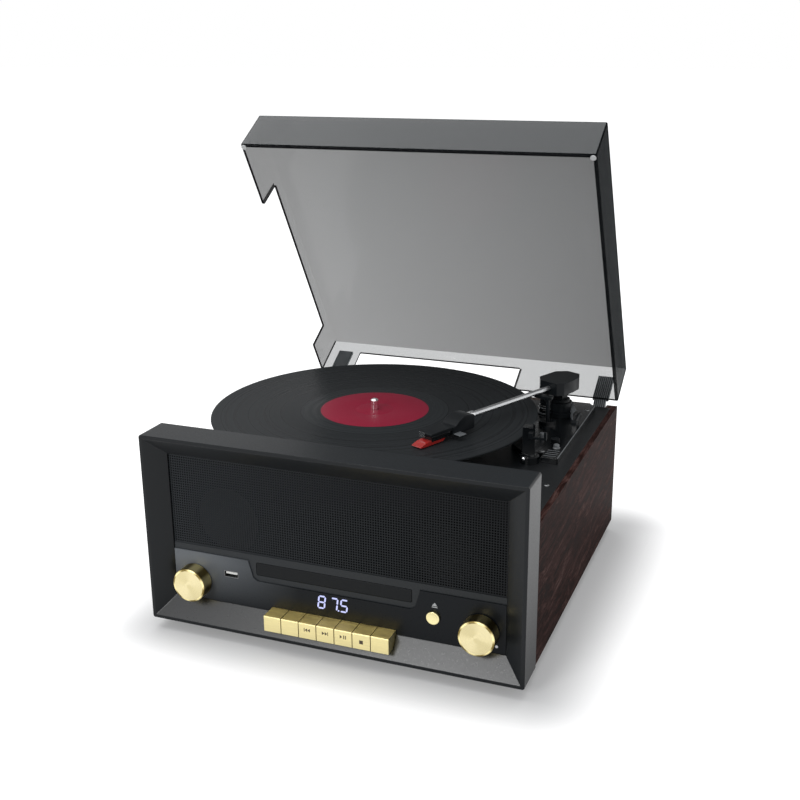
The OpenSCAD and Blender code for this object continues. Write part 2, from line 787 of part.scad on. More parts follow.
module cd_loader()
    color("#4b4f52") {
        wall_x = loader_x + chassis_t;
        y1 = loader_y0 + loader_l;
        difference() {
            union() {
                block([-wall_x, board_y + pcb_t + 1, loader_z], [wall_x, y1, loader_z + chassis_t]);
                // spindle motor
                bar_z(0, disc_y, 12, loader_z, tray_z0 - 8);
            }
            bar_z(0, disc_y, 1 + run_gap, loader_z + 4, tray_z0);
        }
        for (sx = [-1, 1]) {
            block([sx > 0 ? loader_x : -wall_x, board_y + pcb_t + 1, loader_z + chassis_t],
                [sx > 0 ? wall_x : -loader_x, y1, drawer_z1 + 4]);
            // runners under and over the tray's edges
            block([sx > 0 ? loader_x - 5 : -loader_x, board_y + pcb_t + 1, tray_z0 - move_gap - 2.5],
                [sx > 0 ? loader_x : 5 - loader_x, y1, tray_z0 - move_gap]);
            block([sx > 0 ? loader_x - 3 : -loader_x, board_y + pcb_t + 1, tray_z1 + move_gap],
                [sx > 0 ? loader_x : 3 - loader_x, y1, tray_z1 + move_gap + 2]);
            // guide rod of the laser sled, in its end blocks
            bar_y(sx*rod_x, rod_z, rod_r, disc_y + 13, sled_y0 + sled_l + sled_travel + 2);
            block([sx*rod_x - 3, disc_y + 10, loader_z + chassis_t], [sx*rod_x + 3, disc_y + 14, rod_z + 3]);
            block([sx*rod_x - 3, sled_y0 + sled_l + sled_travel + 1, loader_z + chassis_t],
                [sx*rod_x + 3, sled_y0 + sled_l + sled_travel + 5, rod_z + 3]);
            for (y = [board_y + 20, y1 - 12])
                bar_z(sx*(loader_x - 10), y, 5, inside_z, loader_z);
        }
        // bridge over the disc
        block([-wall_x, disc_y - 12, drawer_z1 + 4], [wall_x, disc_y + 12, drawer_z1 + 6]);
    }

module cd_hub()
    color("#17181a")
    translate([0, disc_y, 0]) rotate_extrude() polygon([
        [0, loader_z + 5], [1, loader_z + 5], [1, tray_z0 - 7.5],
        [14, tray_z0 - 7.5], [14, tray_z0 - 3], [7.3, tray_z0 - 3],
        [7.3, tray_z1 - 1], [5.5, tray_z1 + 0.8], [0, tray_z1 + 0.8]]);

module laser_sled()
    color("#5a5d60")
    difference() {
        union() {
            block([-rod_x - 4, sled_y0, rod_z - 4], [rod_x + 4, sled_y0 + sled_l, rod_z + 4]);
            bar_z(0, sled_y0 + 10, 4.5, rod_z + 4, tray_z0 - 1.5);
        }
        for (sx = [-1, 1])
            bar_y(sx*rod_x, rod_z, rod_r + run_gap, sled_y0 - e, sled_y0 + sled_l + e);
    }

// -------------------------------------------------------------- turntable

module spindle()
    color("#d6d8da")
    translate([-spindle_x, spindle_y, 0]) rotate_extrude() polygon([
        [0, deck_under - 5], [bush_r, deck_under - 5], [bush_r, deck_z],
        [hub_r, deck_z], [hub_r, well_z - platter_h - move_gap - 2],
        [bush_r, well_z - platter_h - move_gap - 2], [bush_r, well_z - 1],
        [spindle_r - spindle_waist, well_z - 1], [spindle_r - spindle_waist, record_z + 0.3],
        [spindle_r, record_z + 0.3], [spindle_r, record_z + spindle_up - 1.6],
        [spindle_r - 1.2, record_z + spindle_up - 0.4],
        [spindle_r - 2.4, record_z + spindle_up], [0, record_z + spindle_up]]);

module platter()
    color("#9fa3a6")
    translate([-spindle_x, spindle_y, 0]) rotate_extrude() polygon([
        [bush_r + run_gap, well_z - platter_h - 2], [hub_r, well_z - platter_h - 2],
        [hub_r, well_z - platter_t], [drive_r - 3, well_z - platter_t],
        [drive_r - 3, belt_z - 1], [drive_r, belt_z - 1],
        [drive_r, well_z - platter_t], [platter_r - platter_t, well_z - platter_t],
        [platter_r - platter_t, well_z - platter_h], [platter_r, well_z - platter_h],
        [platter_r, well_z - 1], [platter_r - 1, well_z],
        [bush_r + run_gap, well_z]]);

module slip_mat()
    color("#1c1c1d")
    difference() {
        bar_z(-spindle_x, spindle_y, platter_r - 2, well_z, mat_z);
        bar_z(-spindle_x, spindle_y, record_hole_r, well_z - e, mat_z + e);
    }

module vinyl_record()
    color("#151617")
    translate([-spindle_x, spindle_y, 0]) rotate_extrude() polygon([
        [record_hole_r, mat_z], [record_r - 0.4, mat_z],
        [record_r, mat_z + 0.4], [record_r, record_z - 0.4],
        [record_r - 0.4, record_z], [record_hole_r, record_z]]);

module record_label()
    color("#8f1b36")
    difference() {
        bar_z(-spindle_x, spindle_y, label_r, record_z, record_z + 0.15);
        bar_z(-spindle_x, spindle_y, record_hole_r, record_z - e, record_z + e);
    }

module motor()
    color("#a8abad")
    difference() {
        union() {
            bar_z(motor_x, motor_y, motor_r, deck_under - motor_h, deck_under);
            bar_z(motor_x, motor_y, 3, deck_under, deck_z);
        }
        bar_z(motor_x, motor_y, 1 + run_gap, deck_under - 10, deck_z + e);
    }

module motor_pulley()
    color("#c8b060")
    translate([motor_x, motor_y, 0]) rotate_extrude() polygon([
        [0, deck_under - 9], [1, deck_under - 9], [1, deck_z + move_gap],
        [pulley_r - 1.5, deck_z + move_gap], [pulley_r - 1.5, pulley_z0],
        [pulley_r, pulley_z0], [pulley_r, belt_z + belt_w + 0.5], [0, belt_z + belt_w + 0.5]]);

// Outline of a belt round two circles of radii ra and rb, d apart
module belt_outline(ra, rb, d) {
    t = acos((ra - rb)/d);
    circle(ra, $fn = 128);
    translate([d, 0]) circle(rb);
    polygon([ra*[cos(t), sin(t)], ra*[cos(t), -sin(t)],
        [d, 0] + rb*[cos(t), -sin(t)], [d, 0] + rb*[cos(t), sin(t)]]);
}

module drive_belt()
    color("#202020")
    translate([-spindle_x, spindle_y, belt_z]) rotate([0, 0, motor_dir])
        linear_extrude(belt_w)
        difference() {
            belt_outline(drive_r + move_gap + belt_t, pulley_r + move_gap + belt_t, motor_off);
            belt_outline(drive_r + move_gap, pulley_r + move_gap, motor_off);
        }

// ---------------------------------------------------------------- tonearm

mech_x0 = pivot_x - mech_in;
mech_x1 = pivot_x + mech_out;
mech_y0 = rest_y + 1;
mech_y1 = pivot_y + mech_back;
mech_bay = rest_x + rest_r + 1.1;
switch_x = mech_x1 - 12;
switch_y = mech_y0 + 42;
switch_throw = 5;
lever_x = mech_x1 - 3;
lever_y = pivot_y - 20;
lever_z = mech_z + 7;

module arm_pose()
    translate([pivot_x, pivot_y, 0]) rotate([0, 0, -arm_angle]) children();

module mechanism_plate()
    color("#1d1f21")
    difference() {
        union() {
            linear_extrude(mech_z) polygon([[mech_x0, rest_y + 26],
                [rest_x - rest_r - 1.1, rest_y + rest_r + 3],
                [mech_bay, rest_y + rest_r + 3], [mech_bay, mech_y0],
                [mech_x1 - 1, mech_y0], [mech_x1, mech_y0 + 1], [mech_x1, mech_y1 - 6],
                [mech_x1 - 6, mech_y1], [mech_x0 + 6, mech_y1], [mech_x0, mech_y1 - 6]]);
            // slats at the front
            for (i = [0 : 3])
                block([mech_bay + 1, mech_y0 + 2 + 4.5*i, mech_z],
                    [mech_x1 - 2, mech_y0 + 4 + 4.5*i, mech_z + 1.2]);
            // round boss that the arm lift comes out of
            cue_place() bar_z(0, 0, 8, mech_z, mech_z + 4);
            // bearing of the cue lever
            block([lever_x - 6, lever_y - 5, mech_z],
                [lever_x - 2 - move_gap, lever_y + 5, lever_z + 3]);
        }
        block([mech_x0 - e, mech_y0 - e, -e], [mech_x1 + e, mech_y1 + e, deck_z]);
        bar_z(pivot_x, pivot_y, arm_hole_r + fit_gap, deck_z - e, mech_z + e);
        block([switch_x - 2 - move_gap, switch_y - switch_throw/2 - 2.5, deck_z - e],
            [switch_x + 2 + move_gap, switch_y + switch_throw/2 + 2.5, mech_z + e]);
        bar_x(lever_y, lever_z, 1.5 + run_gap, lever_x - 7, lever_x);
        cue_place() bar_z(0, 0, 2 + run_gap, deck_z - e, mech_z + 5);
    }

module arm_base()
    color("#191b1d")
    difference() {
        union() {
            bar_z(pivot_x, pivot_y, arm_hole_r, deck_under - 6, mech_z);
            bar_z(pivot_x, pivot_y, arm_hole_r + 4, mech_z, mech_z + 4);
            bar_z(pivot_x, pivot_y, arm_hole_r + 1.5, mech_z + 4, base_top);
        }
        bar_z(pivot_x, pivot_y, swing_r + run_gap, deck_under - 7, base_top + e);
    }

yoke_w = 10;
pin_r = 1.5;

module arm_yoke()
    color("#222426")
    arm_pose() {
        bar_z(0, 0, swing_r, deck_under - 4, base_top + move_gap);
        bar_z(0, 0, arm_hole_r, base_top + move_gap, base_top + 3);
        block([-yoke_w/2, -4, base_top + 3], [yoke_w/2, 4, arm_z + 3]);
        bar_x(0, arm_z, pin_r, 4 - block_in, block_out - 4);
    }

module pivot_block()
    color("#1b1d1f")
    arm_pose() difference() {
        translate([0, 0, block_z0]) linear_extrude(block_h) polygon([
            [-block_in, 9 - block_front], [8 - block_in, -block_front],
            [block_out - 4, -block_front], [block_out, 6.5 - block_front],
            [block_out - 0.5, 2], [block_out - 3, block_back - 9],
            [block_out - 9.5, block_back], [8 - block_in, block_back],
            [-block_in, block_back - 9]]);
        block([-yoke_w/2 - 0.5, -9, block_z0 - e], [yoke_w/2 + 0.5, 9, arm_z + 4]);
        bar_x(0, arm_z, pin_r + run_gap, 3.5 - block_in, block_out - 3.5);
        bar_y(0, arm_z, tube_r, -block_front - e, 7 - block_front);
    }

module tonearm_tube()
    color("#d9dbdc")
    arm_pose() difference() {
        bar_y(0, arm_z, tube_r, head_y1 - 7, 7 - block_front);
        bar_y(0, arm_z, tube_r - tube_t, head_y1 - 8, 8 - block_front);
    }

// Headshell: a hump where the tube goes in, and a flatter part in front
head_mid = head_y0 + 26;
head_foot = stylus_z + 3.6;

module headshell()
    color("#1b1d1f")
    arm_pose() difference() {
        union() {
            sideways(-head_w/2, head_w/2)
                polygon([[head_mid, head_foot], [head_mid, arm_z - 1.8],
                    [head_mid + 3, arm_z - 1.8], [head_mid + 7, arm_z + 1.5],
                    [head_mid + 14, arm_z + 4.8], [head_mid + 19, arm_z + 4.8],
                    [head_y1 - 1, arm_z + 3.6], [head_y1, arm_z + 3],
                    [head_y1, head_foot + 1], [head_y1 - 1, head_foot]]);
            sideways(1 - head_w/2, head_w/2 - 1)
                polygon([[head_y0, arm_z - 5], [head_y0, arm_z - 2.8],
                    [head_y0 + 1.5, arm_z - 2], [head_mid, arm_z - 1.8],
                    [head_mid, arm_z - 5]]);
            // finger lift
            sideways(head_w/2, head_w/2 + 7)
                polygon([[head_mid, head_foot], [head_mid, head_foot + 1.2],
                    [head_mid + 9, head_foot + 1.2], [head_mid + 9, head_foot]]);
        }
        bar_y(0, arm_z, tube_r, head_y1 - 7, head_y1 + e);
    }

module cartridge()
    color("#24262a")
    arm_pose()
    block([2 - head_w/2, head_y0 + 2, stylus_z + 3], [head_w/2 - 2, head_mid, arm_z - 5]);

// Stylus with its guard, a wedge that runs out low in front of the head
module stylus()
    color("#a01822")
    arm_pose() {
        sideways(2.5 - head_w/2, head_w/2 - 2.5)
            polygon([[head_y0 - 10.5, stylus_z + 1.5], [head_y0 - 11, stylus_z + 0.8],
                [head_y0 - 8, stylus_z + 0.3], [head_y0 + 16, stylus_z + 0.6],
                [head_y0 + 19, stylus_z + 3], [head_y0 + 2, stylus_z + 3],
                [head_y0 + 1.7, stylus_z + 4.4], [head_y0 - 5, stylus_z + 3.3]]);
        translate([0, -arm_l, stylus_z]) cylinder(h = 2, r1 = 0.1, r2 = 0.7, $fn = 24);
    }

rest_top = arm_z - tube_r - move_gap;
clip_z = rest_top - 6;
hook_l = arm_z + tube_r + move_gap - clip_z;

module arm_rest()
    color("#1d1f21")
    difference() {
        union() {
            bar_z(rest_x, rest_y, rest_r, deck_z, mech_z + 1);
            bar_z(rest_x, rest_y, rest_r - 2, mech_z + 1, mech_z + 3);
            block([rest_x - 5.6, rest_y - 4, mech_z + 3], [rest_x + 5.6, rest_y + 5, rest_top]);
            // stop on the outer side, beside the parked tube
            block([rest_x + 3.5, rest_y - 4, rest_top], [rest_x + 5.6, rest_y + 5, arm_z + 1]);
        }
        bar_y(rest_x + 2, clip_z, 1 + run_gap, rest_y - 5, rest_y + 6);
    }

// Hook on a pin that swings over the parked tube
module arm_clip()
    color("#2a2c2e") {
        y1 = rest_y - 4 - move_gap;
        bar_y(rest_x + 2, clip_z, 1, y1 - 2, rest_y + 4.5);
        upright(y1 - 2, y1)
            translate([rest_x + 2, clip_z])
            polygon([[-2, -3], [hook_l + 2.4, -3], [hook_l + 2.4, 4], [hook_l, 4],
                [hook_l, -1], [2, -1], [2, 2], [-2, 2]]);
    }

module cue_lever()
    color("#2a2c2e") {
        bar_x(lever_y, lever_z, 1.5, lever_x - 6, lever_x);
        sideways(lever_x - 2, lever_x)
            polygon([[lever_y + 3, lever_z - 2.5], [lever_y + 3, lever_z + 2.5],
                [lever_y - 3, lever_z + 2.5], [lever_y - 20, lever_z + 0.8],
                [lever_y - 20, lever_z - 1], [lever_y - 3, lever_z - 2.5]]);
        block([lever_x - 3, lever_y - 25, lever_z - 1.5],
            [lever_x + 2, lever_y - 19, lever_z + 1.5]);
    }

// Where the lift's stem stands, in front of the pivot
module cue_place()
    translate([pivot_x, pivot_y, 0]) rotate([0, 0, -7]) translate([0, -lift_r, 0]) children();

module cue_lift()
    color("#2a2c2e") {
        top = arm_z - tube_r - move_gap;
        cue_place() bar_z(0, 0, 2, deck_z, top - 1);
        translate([pivot_x, pivot_y, top - 3]) rotate([0, 0, -90])
            rotate_extrude(angle = -45) translate([lift_r - 2.5, 0]) square([5, 3]);
    }

module speed_switch()
    color("#3a3c3e") {
        y = switch_y - switch_throw/2;
        block([switch_x - 2, y - 1.7, deck_z + move_gap],
            [switch_x + 2, y + 1.7, mech_z + move_gap]);
        bar_z(switch_x, y, 4, mech_z + move_gap, mech_z + 4);
    }

// ------------------------------------------------------------- dust cover

module cover_pose()
    translate([0, hinge_y, hinge_z]) rotate([-cover_open, 0, 0])
        translate([0, -hinge_y, -hinge_z]) children();

module dust_cover()
    color("#6f7577", 0.5)
    cover_pose() difference() {
        block([-cover_w/2, cover_back - cover_d, rim_z],
            [cover_w/2, cover_back, rim_z + cover_h]);
        block([cover_t - cover_w/2, cover_back - cover_d + cover_t, rim_z - e],
            [cover_w/2 - cover_t, cover_back - cover_t, rim_z + cover_h - cover_t]);
        // notch in the left wall
        block([-cover_w/2 - e, notch_y0, rim_z - e],
            [-cover_w/2 + cover_t + e, notch_y0 + notch_l, rim_z + notch_h]);
        // notch in the back wall
        block([-spindle_x - notch_left, cover_back - cover_t - e, rim_z - e],
            [notch_right - spindle_x, cover_back + e, rim_z + notch_h]);
    }

knuckle_r = 4;
knuckle_w = hinge_w - 4;

// Hinge arms on the cover's back wall, and the pads at its front corners
module cover_fittings()
    color("#1a1b1c")
    cover_pose() {
        for (sx = [-1, 1]) {
            difference() {
                union() {
                    block([sx*hinge_x - hinge_w/2, cover_back, rim_z + 1],
                        [sx*hinge_x + hinge_w/2, cover_back + 3, rim_z + hinge_arm_h]);
                    bar_x(hinge_y, hinge_z, knuckle_r,
                        sx*hinge_x - knuckle_w/2, sx*hinge_x + knuckle_w/2);
                    sideways(sx*hinge_x - knuckle_w/2, sx*hinge_x + knuckle_w/2)
                        polygon([[hinge_y - 4, hinge_z], [hinge_y + 4, hinge_z],
                            [cover_back + 3, rim_z], [cover_back + 3, rim_z + 8],
                            [cover_back, rim_z + 8], [cover_back, rim_z - 1]]);
                }
                bar_x(hinge_y, hinge_z, hinge_pin_r + run_gap,
                    sx*hinge_x - hinge_w, sx*hinge_x + hinge_w);
            }
            bar_z(sx*(cover_w/2 - bumper_r - 0.5), cover_back - cover_d + bumper_r + 0.5,
                bumper_r, rim_z - bumper_t, rim_z);
        }
    }

module hinge_bases()
    color("#1a1b1c")
    for (sx = [-1, 1]) {
        x = sx*hinge_x;
        block([x - hinge_w/2, back_y, mortise_z], [x + hinge_w/2, hinge_y + 4, mortise_z + 4]);
        for (s = [-1, 1]) {
            a = x + s*(hinge_w/2 + knuckle_w/2 + move_gap)/2;
            w = (hinge_w - knuckle_w)/2 - move_gap;
            sideways(a - w/2, a + w/2) {
                translate([hinge_y, hinge_z]) circle(knuckle_r);
                translate([hinge_y - knuckle_r, mortise_z + 4])
                    square([2*knuckle_r, hinge_z - mortise_z - 4]);
            }
        }
        bar_x(hinge_y, hinge_z, hinge_pin_r, x - hinge_w/2, x + hinge_w/2);
    }

// ------------------------------------------------------------------ nodes

place() side_panel_left();
place() side_panel_right();
place() bottom_panel();
place() back_panel();
place() deck();
place() feet();
place() bezel();
place() speaker_grille();
place() speaker_baffle();
place() speaker_left();
place() speaker_right();
place() fascia_panel();
place() control_plate();
place() display_module();
place() control_board();
place() usb_socket();
place() main_board();
place() jack_plate();
place() audio_sockets();
place() power_socket();
place() back_screws();
place() tuning_knob();
place() volume_knob();
place() standby_key();
place() source_key();
place() previous_key();
place() next_key();
place() play_key();
place() stop_key();
place() record_key();
place() eject_button();
place() cd_loader();
place() cd_tray();
place() cd_drawer_front();
place() cd_hub();
place() laser_sled();
place() spindle();
place() platter();
place() slip_mat();
place() vinyl_record();
place() record_label();
place() motor();
place() motor_pulley();
place() drive_belt();
place() mechanism_plate();
place() arm_base();
place() arm_yoke();
place() pivot_block();
place() tonearm_tube();
place() headshell();
place() cartridge();
place() stylus();
place() arm_rest();
place() arm_clip();
place() cue_lever();
place() cue_lift();
place() speed_switch();
place() hinge_bases();
place() dust_cover();
place() cover_fittings();
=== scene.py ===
"""Looks of the stereo music centre: finishes, fine pieces, light and camera.

Sizes are in millimetres in the cabinet's own frame, with X = 0 on the cabinet's
middle, Y = 0 at the front rim and Z = 0 on the table. put() turns them into
metres in the row frame, which is where every mesh lies.
"""

import json
import math

import bmesh
import bpy
import numpy as np
from mathutils import Matrix, Vector


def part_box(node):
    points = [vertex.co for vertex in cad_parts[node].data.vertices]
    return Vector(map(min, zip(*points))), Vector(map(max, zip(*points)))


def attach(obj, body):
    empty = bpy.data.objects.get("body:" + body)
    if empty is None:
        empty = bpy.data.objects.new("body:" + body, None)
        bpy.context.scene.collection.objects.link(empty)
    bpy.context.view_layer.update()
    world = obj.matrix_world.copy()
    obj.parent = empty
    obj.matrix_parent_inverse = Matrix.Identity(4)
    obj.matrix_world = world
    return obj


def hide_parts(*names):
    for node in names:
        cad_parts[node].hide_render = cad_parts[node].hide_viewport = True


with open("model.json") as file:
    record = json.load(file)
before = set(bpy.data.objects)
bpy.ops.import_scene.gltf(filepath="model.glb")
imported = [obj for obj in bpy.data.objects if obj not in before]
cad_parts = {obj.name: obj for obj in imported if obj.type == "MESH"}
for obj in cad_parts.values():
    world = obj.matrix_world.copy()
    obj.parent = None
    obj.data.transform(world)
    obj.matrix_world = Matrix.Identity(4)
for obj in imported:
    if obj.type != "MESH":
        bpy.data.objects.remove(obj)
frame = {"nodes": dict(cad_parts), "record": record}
nodes = frame["nodes"]
bodies = {n: b for b, ns in frame["record"]["behaviour"]["bodies"].items() for n in ns}
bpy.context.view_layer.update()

# From the cabinet's frame to the row frame
SHIFT = np.array([10.0, -189.464, 0.0])
# Tonearm: its pivot, its turn at rest and half the headshell's width
PIVOT = np.array([119.0, 281.0, 0.0])
ARM_TURN = math.radians(-24.3)
HALF_HEAD = 8.3
# Record: the spindle's foot, the radius of the hole, the disc's faces
SPINDLE = (-34.0, 188.0, 0.0)
HOLE_R, DISC_LOW, DISC_TOP = 3.65, 152.0, 153.9
# Tops of the deck and of the works plate that stands on it
DECK_TOP, WORKS_TOP = 132.0, 137.0
# Lift pillar beside the tonearm's bearing
PILLAR = (107, 282, 0)
# Front: the plate's face, then the places of the knobs, eject button and USB
PLATE_Y = 12.0
KNOB_X, KNOB_Z = 126.0, 47.0
EJECT_X, EJECT_Z = 87.0, 51.5
USB_X, USB_Z = -92.2, 57.9
# Keys: pitch, front face, and the height and enlargement of their marks
KEY_PITCH, KEY_Y, MARK_Z, MARK_SCALE = 15.8, -3.6, 28.0, 1.3
# Line sockets on the back: height, and the plate's outer face
LINE_OUT_Z, BACK_Y = 52.0, 338.05
# Dust cover: opening angle, hinge line, and the heights of its rim and top
PHI = math.radians(59.0)
HINGE = np.array([0.0, 340.0, 124.0])
RIM_Z, NOTCH_Z, COVER_TOP = 133.0, 162.5, 178.0


def put(points):
    """Cabinet millimetres to row-frame metres: add the shift, divide by 1000."""
    return (np.asarray(points, float) + SHIFT) * 0.001


def cabinet_mm(points):
    """Row-frame metres to cabinet millimetres, the reverse of put."""
    return np.asarray(points, float) * 1000 - SHIFT


# ---------------------------------------------------------------- camera

# Radians, then the lens in millimetres and the eye in the cabinet's frame
AZIMUTH, ELEVATION, ROLL = 0.375820, 0.314285, -0.009689
LENS, SENSOR = 51.09, 36.0
EYE = (354.28, -732.25, 486.99)


def set_camera():
    """The camera looks back along a line at the photo's azimuth and elevation,
    and is then rolled about that line by a half degree."""
    sa, ca = math.sin(AZIMUTH), math.cos(AZIMUTH)
    back = np.array([sa * math.cos(ELEVATION), -ca * math.cos(ELEVATION), math.sin(ELEVATION)])
    right = np.array([ca, sa, 0.0])
    up = np.cross(back, right)
    across = math.cos(ROLL) * right + math.sin(ROLL) * up
    rise = -math.sin(ROLL) * right + math.cos(ROLL) * up
    data = bpy.data.cameras.new("camera")
    data.lens, data.sensor_width = LENS, SENSOR
    data.clip_start, data.clip_end = 0.05, 60
    camera = bpy.data.objects.new("camera", data)
    matrix = np.eye(4)
    matrix[:3, :3] = np.stack([across, rise, back], 1)
    matrix[:3, 3] = put(EYE)
    camera.matrix_world = Matrix(matrix.tolist())
    bpy.context.scene.collection.objects.link(camera)
    bpy.context.scene.camera = camera


set_camera()

# ---------------------------------------------------------------- finishes


def new_finish(name, colour, rough, metal=0.0, **sockets):
    """A material with one Principled shader; constants sit on its own sockets."""
    mat = bpy.data.materials.new(name)
    mat.use_nodes = True
    tree = mat.node_tree
    tree.nodes.clear()
    out = tree.nodes.new("ShaderNodeOutputMaterial")
    surface = tree.nodes.new("ShaderNodeBsdfPrincipled")
    tree.links.new(surface.outputs[0], out.inputs[0])
    surface.inputs["Base Color"].default_value = (*colour, 1)
    surface.inputs["Roughness"].default_value = rough
    surface.inputs["Metallic"].default_value = metal
    for key, value in sockets.items():
        surface.inputs[key.replace("_", " ")].default_value = value
    return mat, tree, surface


def give(tree, socket, value):
    """Links an input to a socket, or sets it to a constant."""
    if isinstance(value, bpy.types.NodeSocket):
        tree.links.new(value, socket)
    else:
        socket.default_value = value


def maths(tree, operation, *values):
    """A maths node on sockets or numbers."""
    n = tree.nodes.new("ShaderNodeMath")
    n.operation = operation
    for socket, value in zip(n.inputs, values):
        give(tree, socket, value)
    return n.outputs[0]


def vector_maths(tree, operation, *values):
    """A vector maths node on sockets or triples; LENGTH gives a number."""
    n = tree.nodes.new("ShaderNodeVectorMath")
    n.operation = operation
    for socket, value in zip(n.inputs, values):
        give(tree, socket, value)
    return n.outputs["Value" if operation == "LENGTH" else "Vector"]


def mixed(tree, a, b, factor, blend="MIX"):
    """A colour mix of sockets or colours, `factor` of the way from a to b."""
    n = tree.nodes.new("ShaderNodeMix")
    n.data_type, n.blend_type = "RGBA", blend
    for key, value in (("Factor", factor), ("A", a), ("B", b)):
        give(tree, n.inputs[key], value)
    return n.outputs["Result"]


def axis_of(tree, vector, axis):
    """One coordinate of a vector socket."""
    parts = tree.nodes.new("ShaderNodeSeparateXYZ")
    tree.links.new(vector, parts.inputs[0])
    return parts.outputs[axis]


def place_of(tree, scale=(1, 1, 1), at=(0, 0, 0)):
    """Object coordinates through Mapping nodes: moved so that `at` (in cabinet
    millimetres) is the origin, then stretched."""
    coords = tree.nodes.new("ShaderNodeTexCoord")
    shift = tree.nodes.new("ShaderNodeMapping")
    shift.inputs["Location"].default_value = tuple(-put(at)) if any(at) else (0, 0, 0)
    stretch = tree.nodes.new("ShaderNodeMapping")
    stretch.inputs["Scale"].default_value = scale
    tree.links.new(coords.outputs["Object"], shift.inputs["Vector"])
    tree.links.new(shift.outputs["Vector"], stretch.inputs["Vector"])
    return stretch.outputs["Vector"]


def speckle(tree, vector, scale, detail=3.0, rough=0.55):
    """Noise of the given frequency per metre."""
    n = tree.nodes.new("ShaderNodeTexNoise")
    n.inputs["Scale"].default_value = scale
    n.inputs["Detail"].default_value = detail
    n.inputs["Roughness"].default_value = rough
    tree.links.new(vector, n.inputs["Vector"])
    return n.outputs["Fac"]


def noise_along(tree, value, scale, detail=2.0):
    """Noise along a single value, of the given frequency per metre."""
    n = tree.nodes.new("ShaderNodeTexNoise")
    n.noise_dimensions = "1D"
    n.inputs["Scale"].default_value = scale
    n.inputs["Detail"].default_value = detail
    tree.links.new(value, n.inputs["W"])
    return n.outputs["Fac"]


def span(tree, value, low, high, start=0.3, end=0.7, ease="LINEAR"):
    """The value's stretch from start to end, laid out between low and high."""
    m = tree.nodes.new("ShaderNodeMapRange")
    m.interpolation_type = ease
    for key, v in zip(("From Min", "From Max", "To Min", "To Max"), (start, end, low, high)):
        m.inputs[key].default_value = v
    tree.links.new(value, m.inputs["Value"])
    return m.outputs["Result"]


def tint(tree, value, stops):
    """A colour ramp with the given (place, colour) stops."""
    r = tree.nodes.new("ShaderNodeValToRGB")
    marks = r.color_ramp.elements
    marks[0].position, marks[0].color = stops[0][0], (*stops[0][1], 1)
    marks[1].position, marks[1].color = stops[-1][0], (*stops[-1][1], 1)
    for at, c in stops[1:-1]:
        marks.new(at).color = (*c, 1)
    tree.links.new(value, r.inputs["Fac"])
    return r.outputs["Color"]


def raise_by(tree, surface, height, strength, distance):
    """Bump: the height, in shares of `distance` metres, tilts the surface."""
    b = tree.nodes.new("ShaderNodeBump")
    b.inputs["Strength"].default_value = strength
    b.inputs["Distance"].default_value = distance
    tree.links.new(height, b.inputs["Height"])
    tree.links.new(b.outputs["Normal"], surface.inputs["Normal"])


def fine_grain(tree, surface, here, rough, grain, depth):
    """The spark-eroded grain of mouldings, in gloss and height."""
    fine = speckle(tree, here, grain, 2.0)
    tree.links.new(span(tree, fine, rough * 0.9, rough * 1.1), surface.inputs["Roughness"])
    raise_by(tree, surface, fine, depth, 0.00005)


def moulded(name, colour, rough, grain, depth, cloud, **sockets):
    """Moulded plastic: a fine spark-eroded grain, slightly cloudy in colour and
    gloss, as real mouldings are."""
    mat, tree, surface = new_finish(name, colour, rough, **sockets)
    here = place_of(tree)
    broad = speckle(tree, here, 14.0)
    low = tuple(c * (1 - cloud) for c in colour)
    high = tuple(min(1, c * (1 + cloud)) for c in colour)
    tree.links.new(tint(tree, broad, [(0.3, low), (0.7, high)]), surface.inputs["Base Color"])
    fine_grain(tree, surface, here, rough, grain, depth)
    return mat


def painted_highlight_fade(name, pale, deep, rough, depth, level, reach_x, reach_z=None):
    """Satin front finish, fine-grained, with a painted highlight at the left: the
    colour runs from a paler tone at the left, which is painted highlight, to a
    deeper one. The share of the pale tone falls evenly over reach_x and, where
    given, rises evenly over the heights reach_z (both metres)."""
    mat, tree, surface = new_finish(name, deep, rough, Specular_IOR_Level=level)
    here = place_of(tree)
    share = span(tree, axis_of(tree, here, "X"), 1.0, 0.0, *reach_x)
    if reach_z:
        height = span(tree, axis_of(tree, here, "Z"), 0.0, 1.0, *reach_z)
        share = maths(tree, "MULTIPLY", share, height)
    tree.links.new(tint(tree, share, [(0.0, deep), (1.0, pale)]), surface.inputs["Base Color"])
    fine_grain(tree, surface, here, rough, 900.0, depth)
    return mat


def brushed(name, colour, rough, along, lines, depth):
    """Metal with fine lines: noise drawn out along one axis, in colour,
    gloss and height."""
    mat, tree, surface = new_finish(name, colour, rough, 1.0)
    here = place_of(tree, scale=along)
    fine = speckle(tree, here, lines, 2.0)
    low = tuple(c * 0.93 for c in colour)
    high = tuple(min(1, c * 1.05) for c in colour)
    tree.links.new(tint(tree, fine, [(0.3, low), (0.7, high)]), surface.inputs["Base Color"])
    tree.links.new(span(tree, fine, rough * 0.8, rough * 1.2), surface.inputs["Roughness"])
    raise_by(tree, surface, fine, depth, 0.00002)
    return mat


def ring_distance(tree, at, across=(1, 1, 0)):
    """Distance from `at`, in metres, counting only the axes marked in `across`."""
    return vector_maths(tree, "LENGTH",
                        vector_maths(tree, "MULTIPLY", place_of(tree, at=at), across))


def wave_of(tree, value, per_metre):
    """Sine of the value, with the given number of waves per metre, from 0 to 1."""
    sine = maths(tree, "SINE", maths(tree, "MULTIPLY", value, per_metre * 2 * math.pi))
    return maths(tree, "MULTIPLY_ADD", sine, 0.5, 0.5)


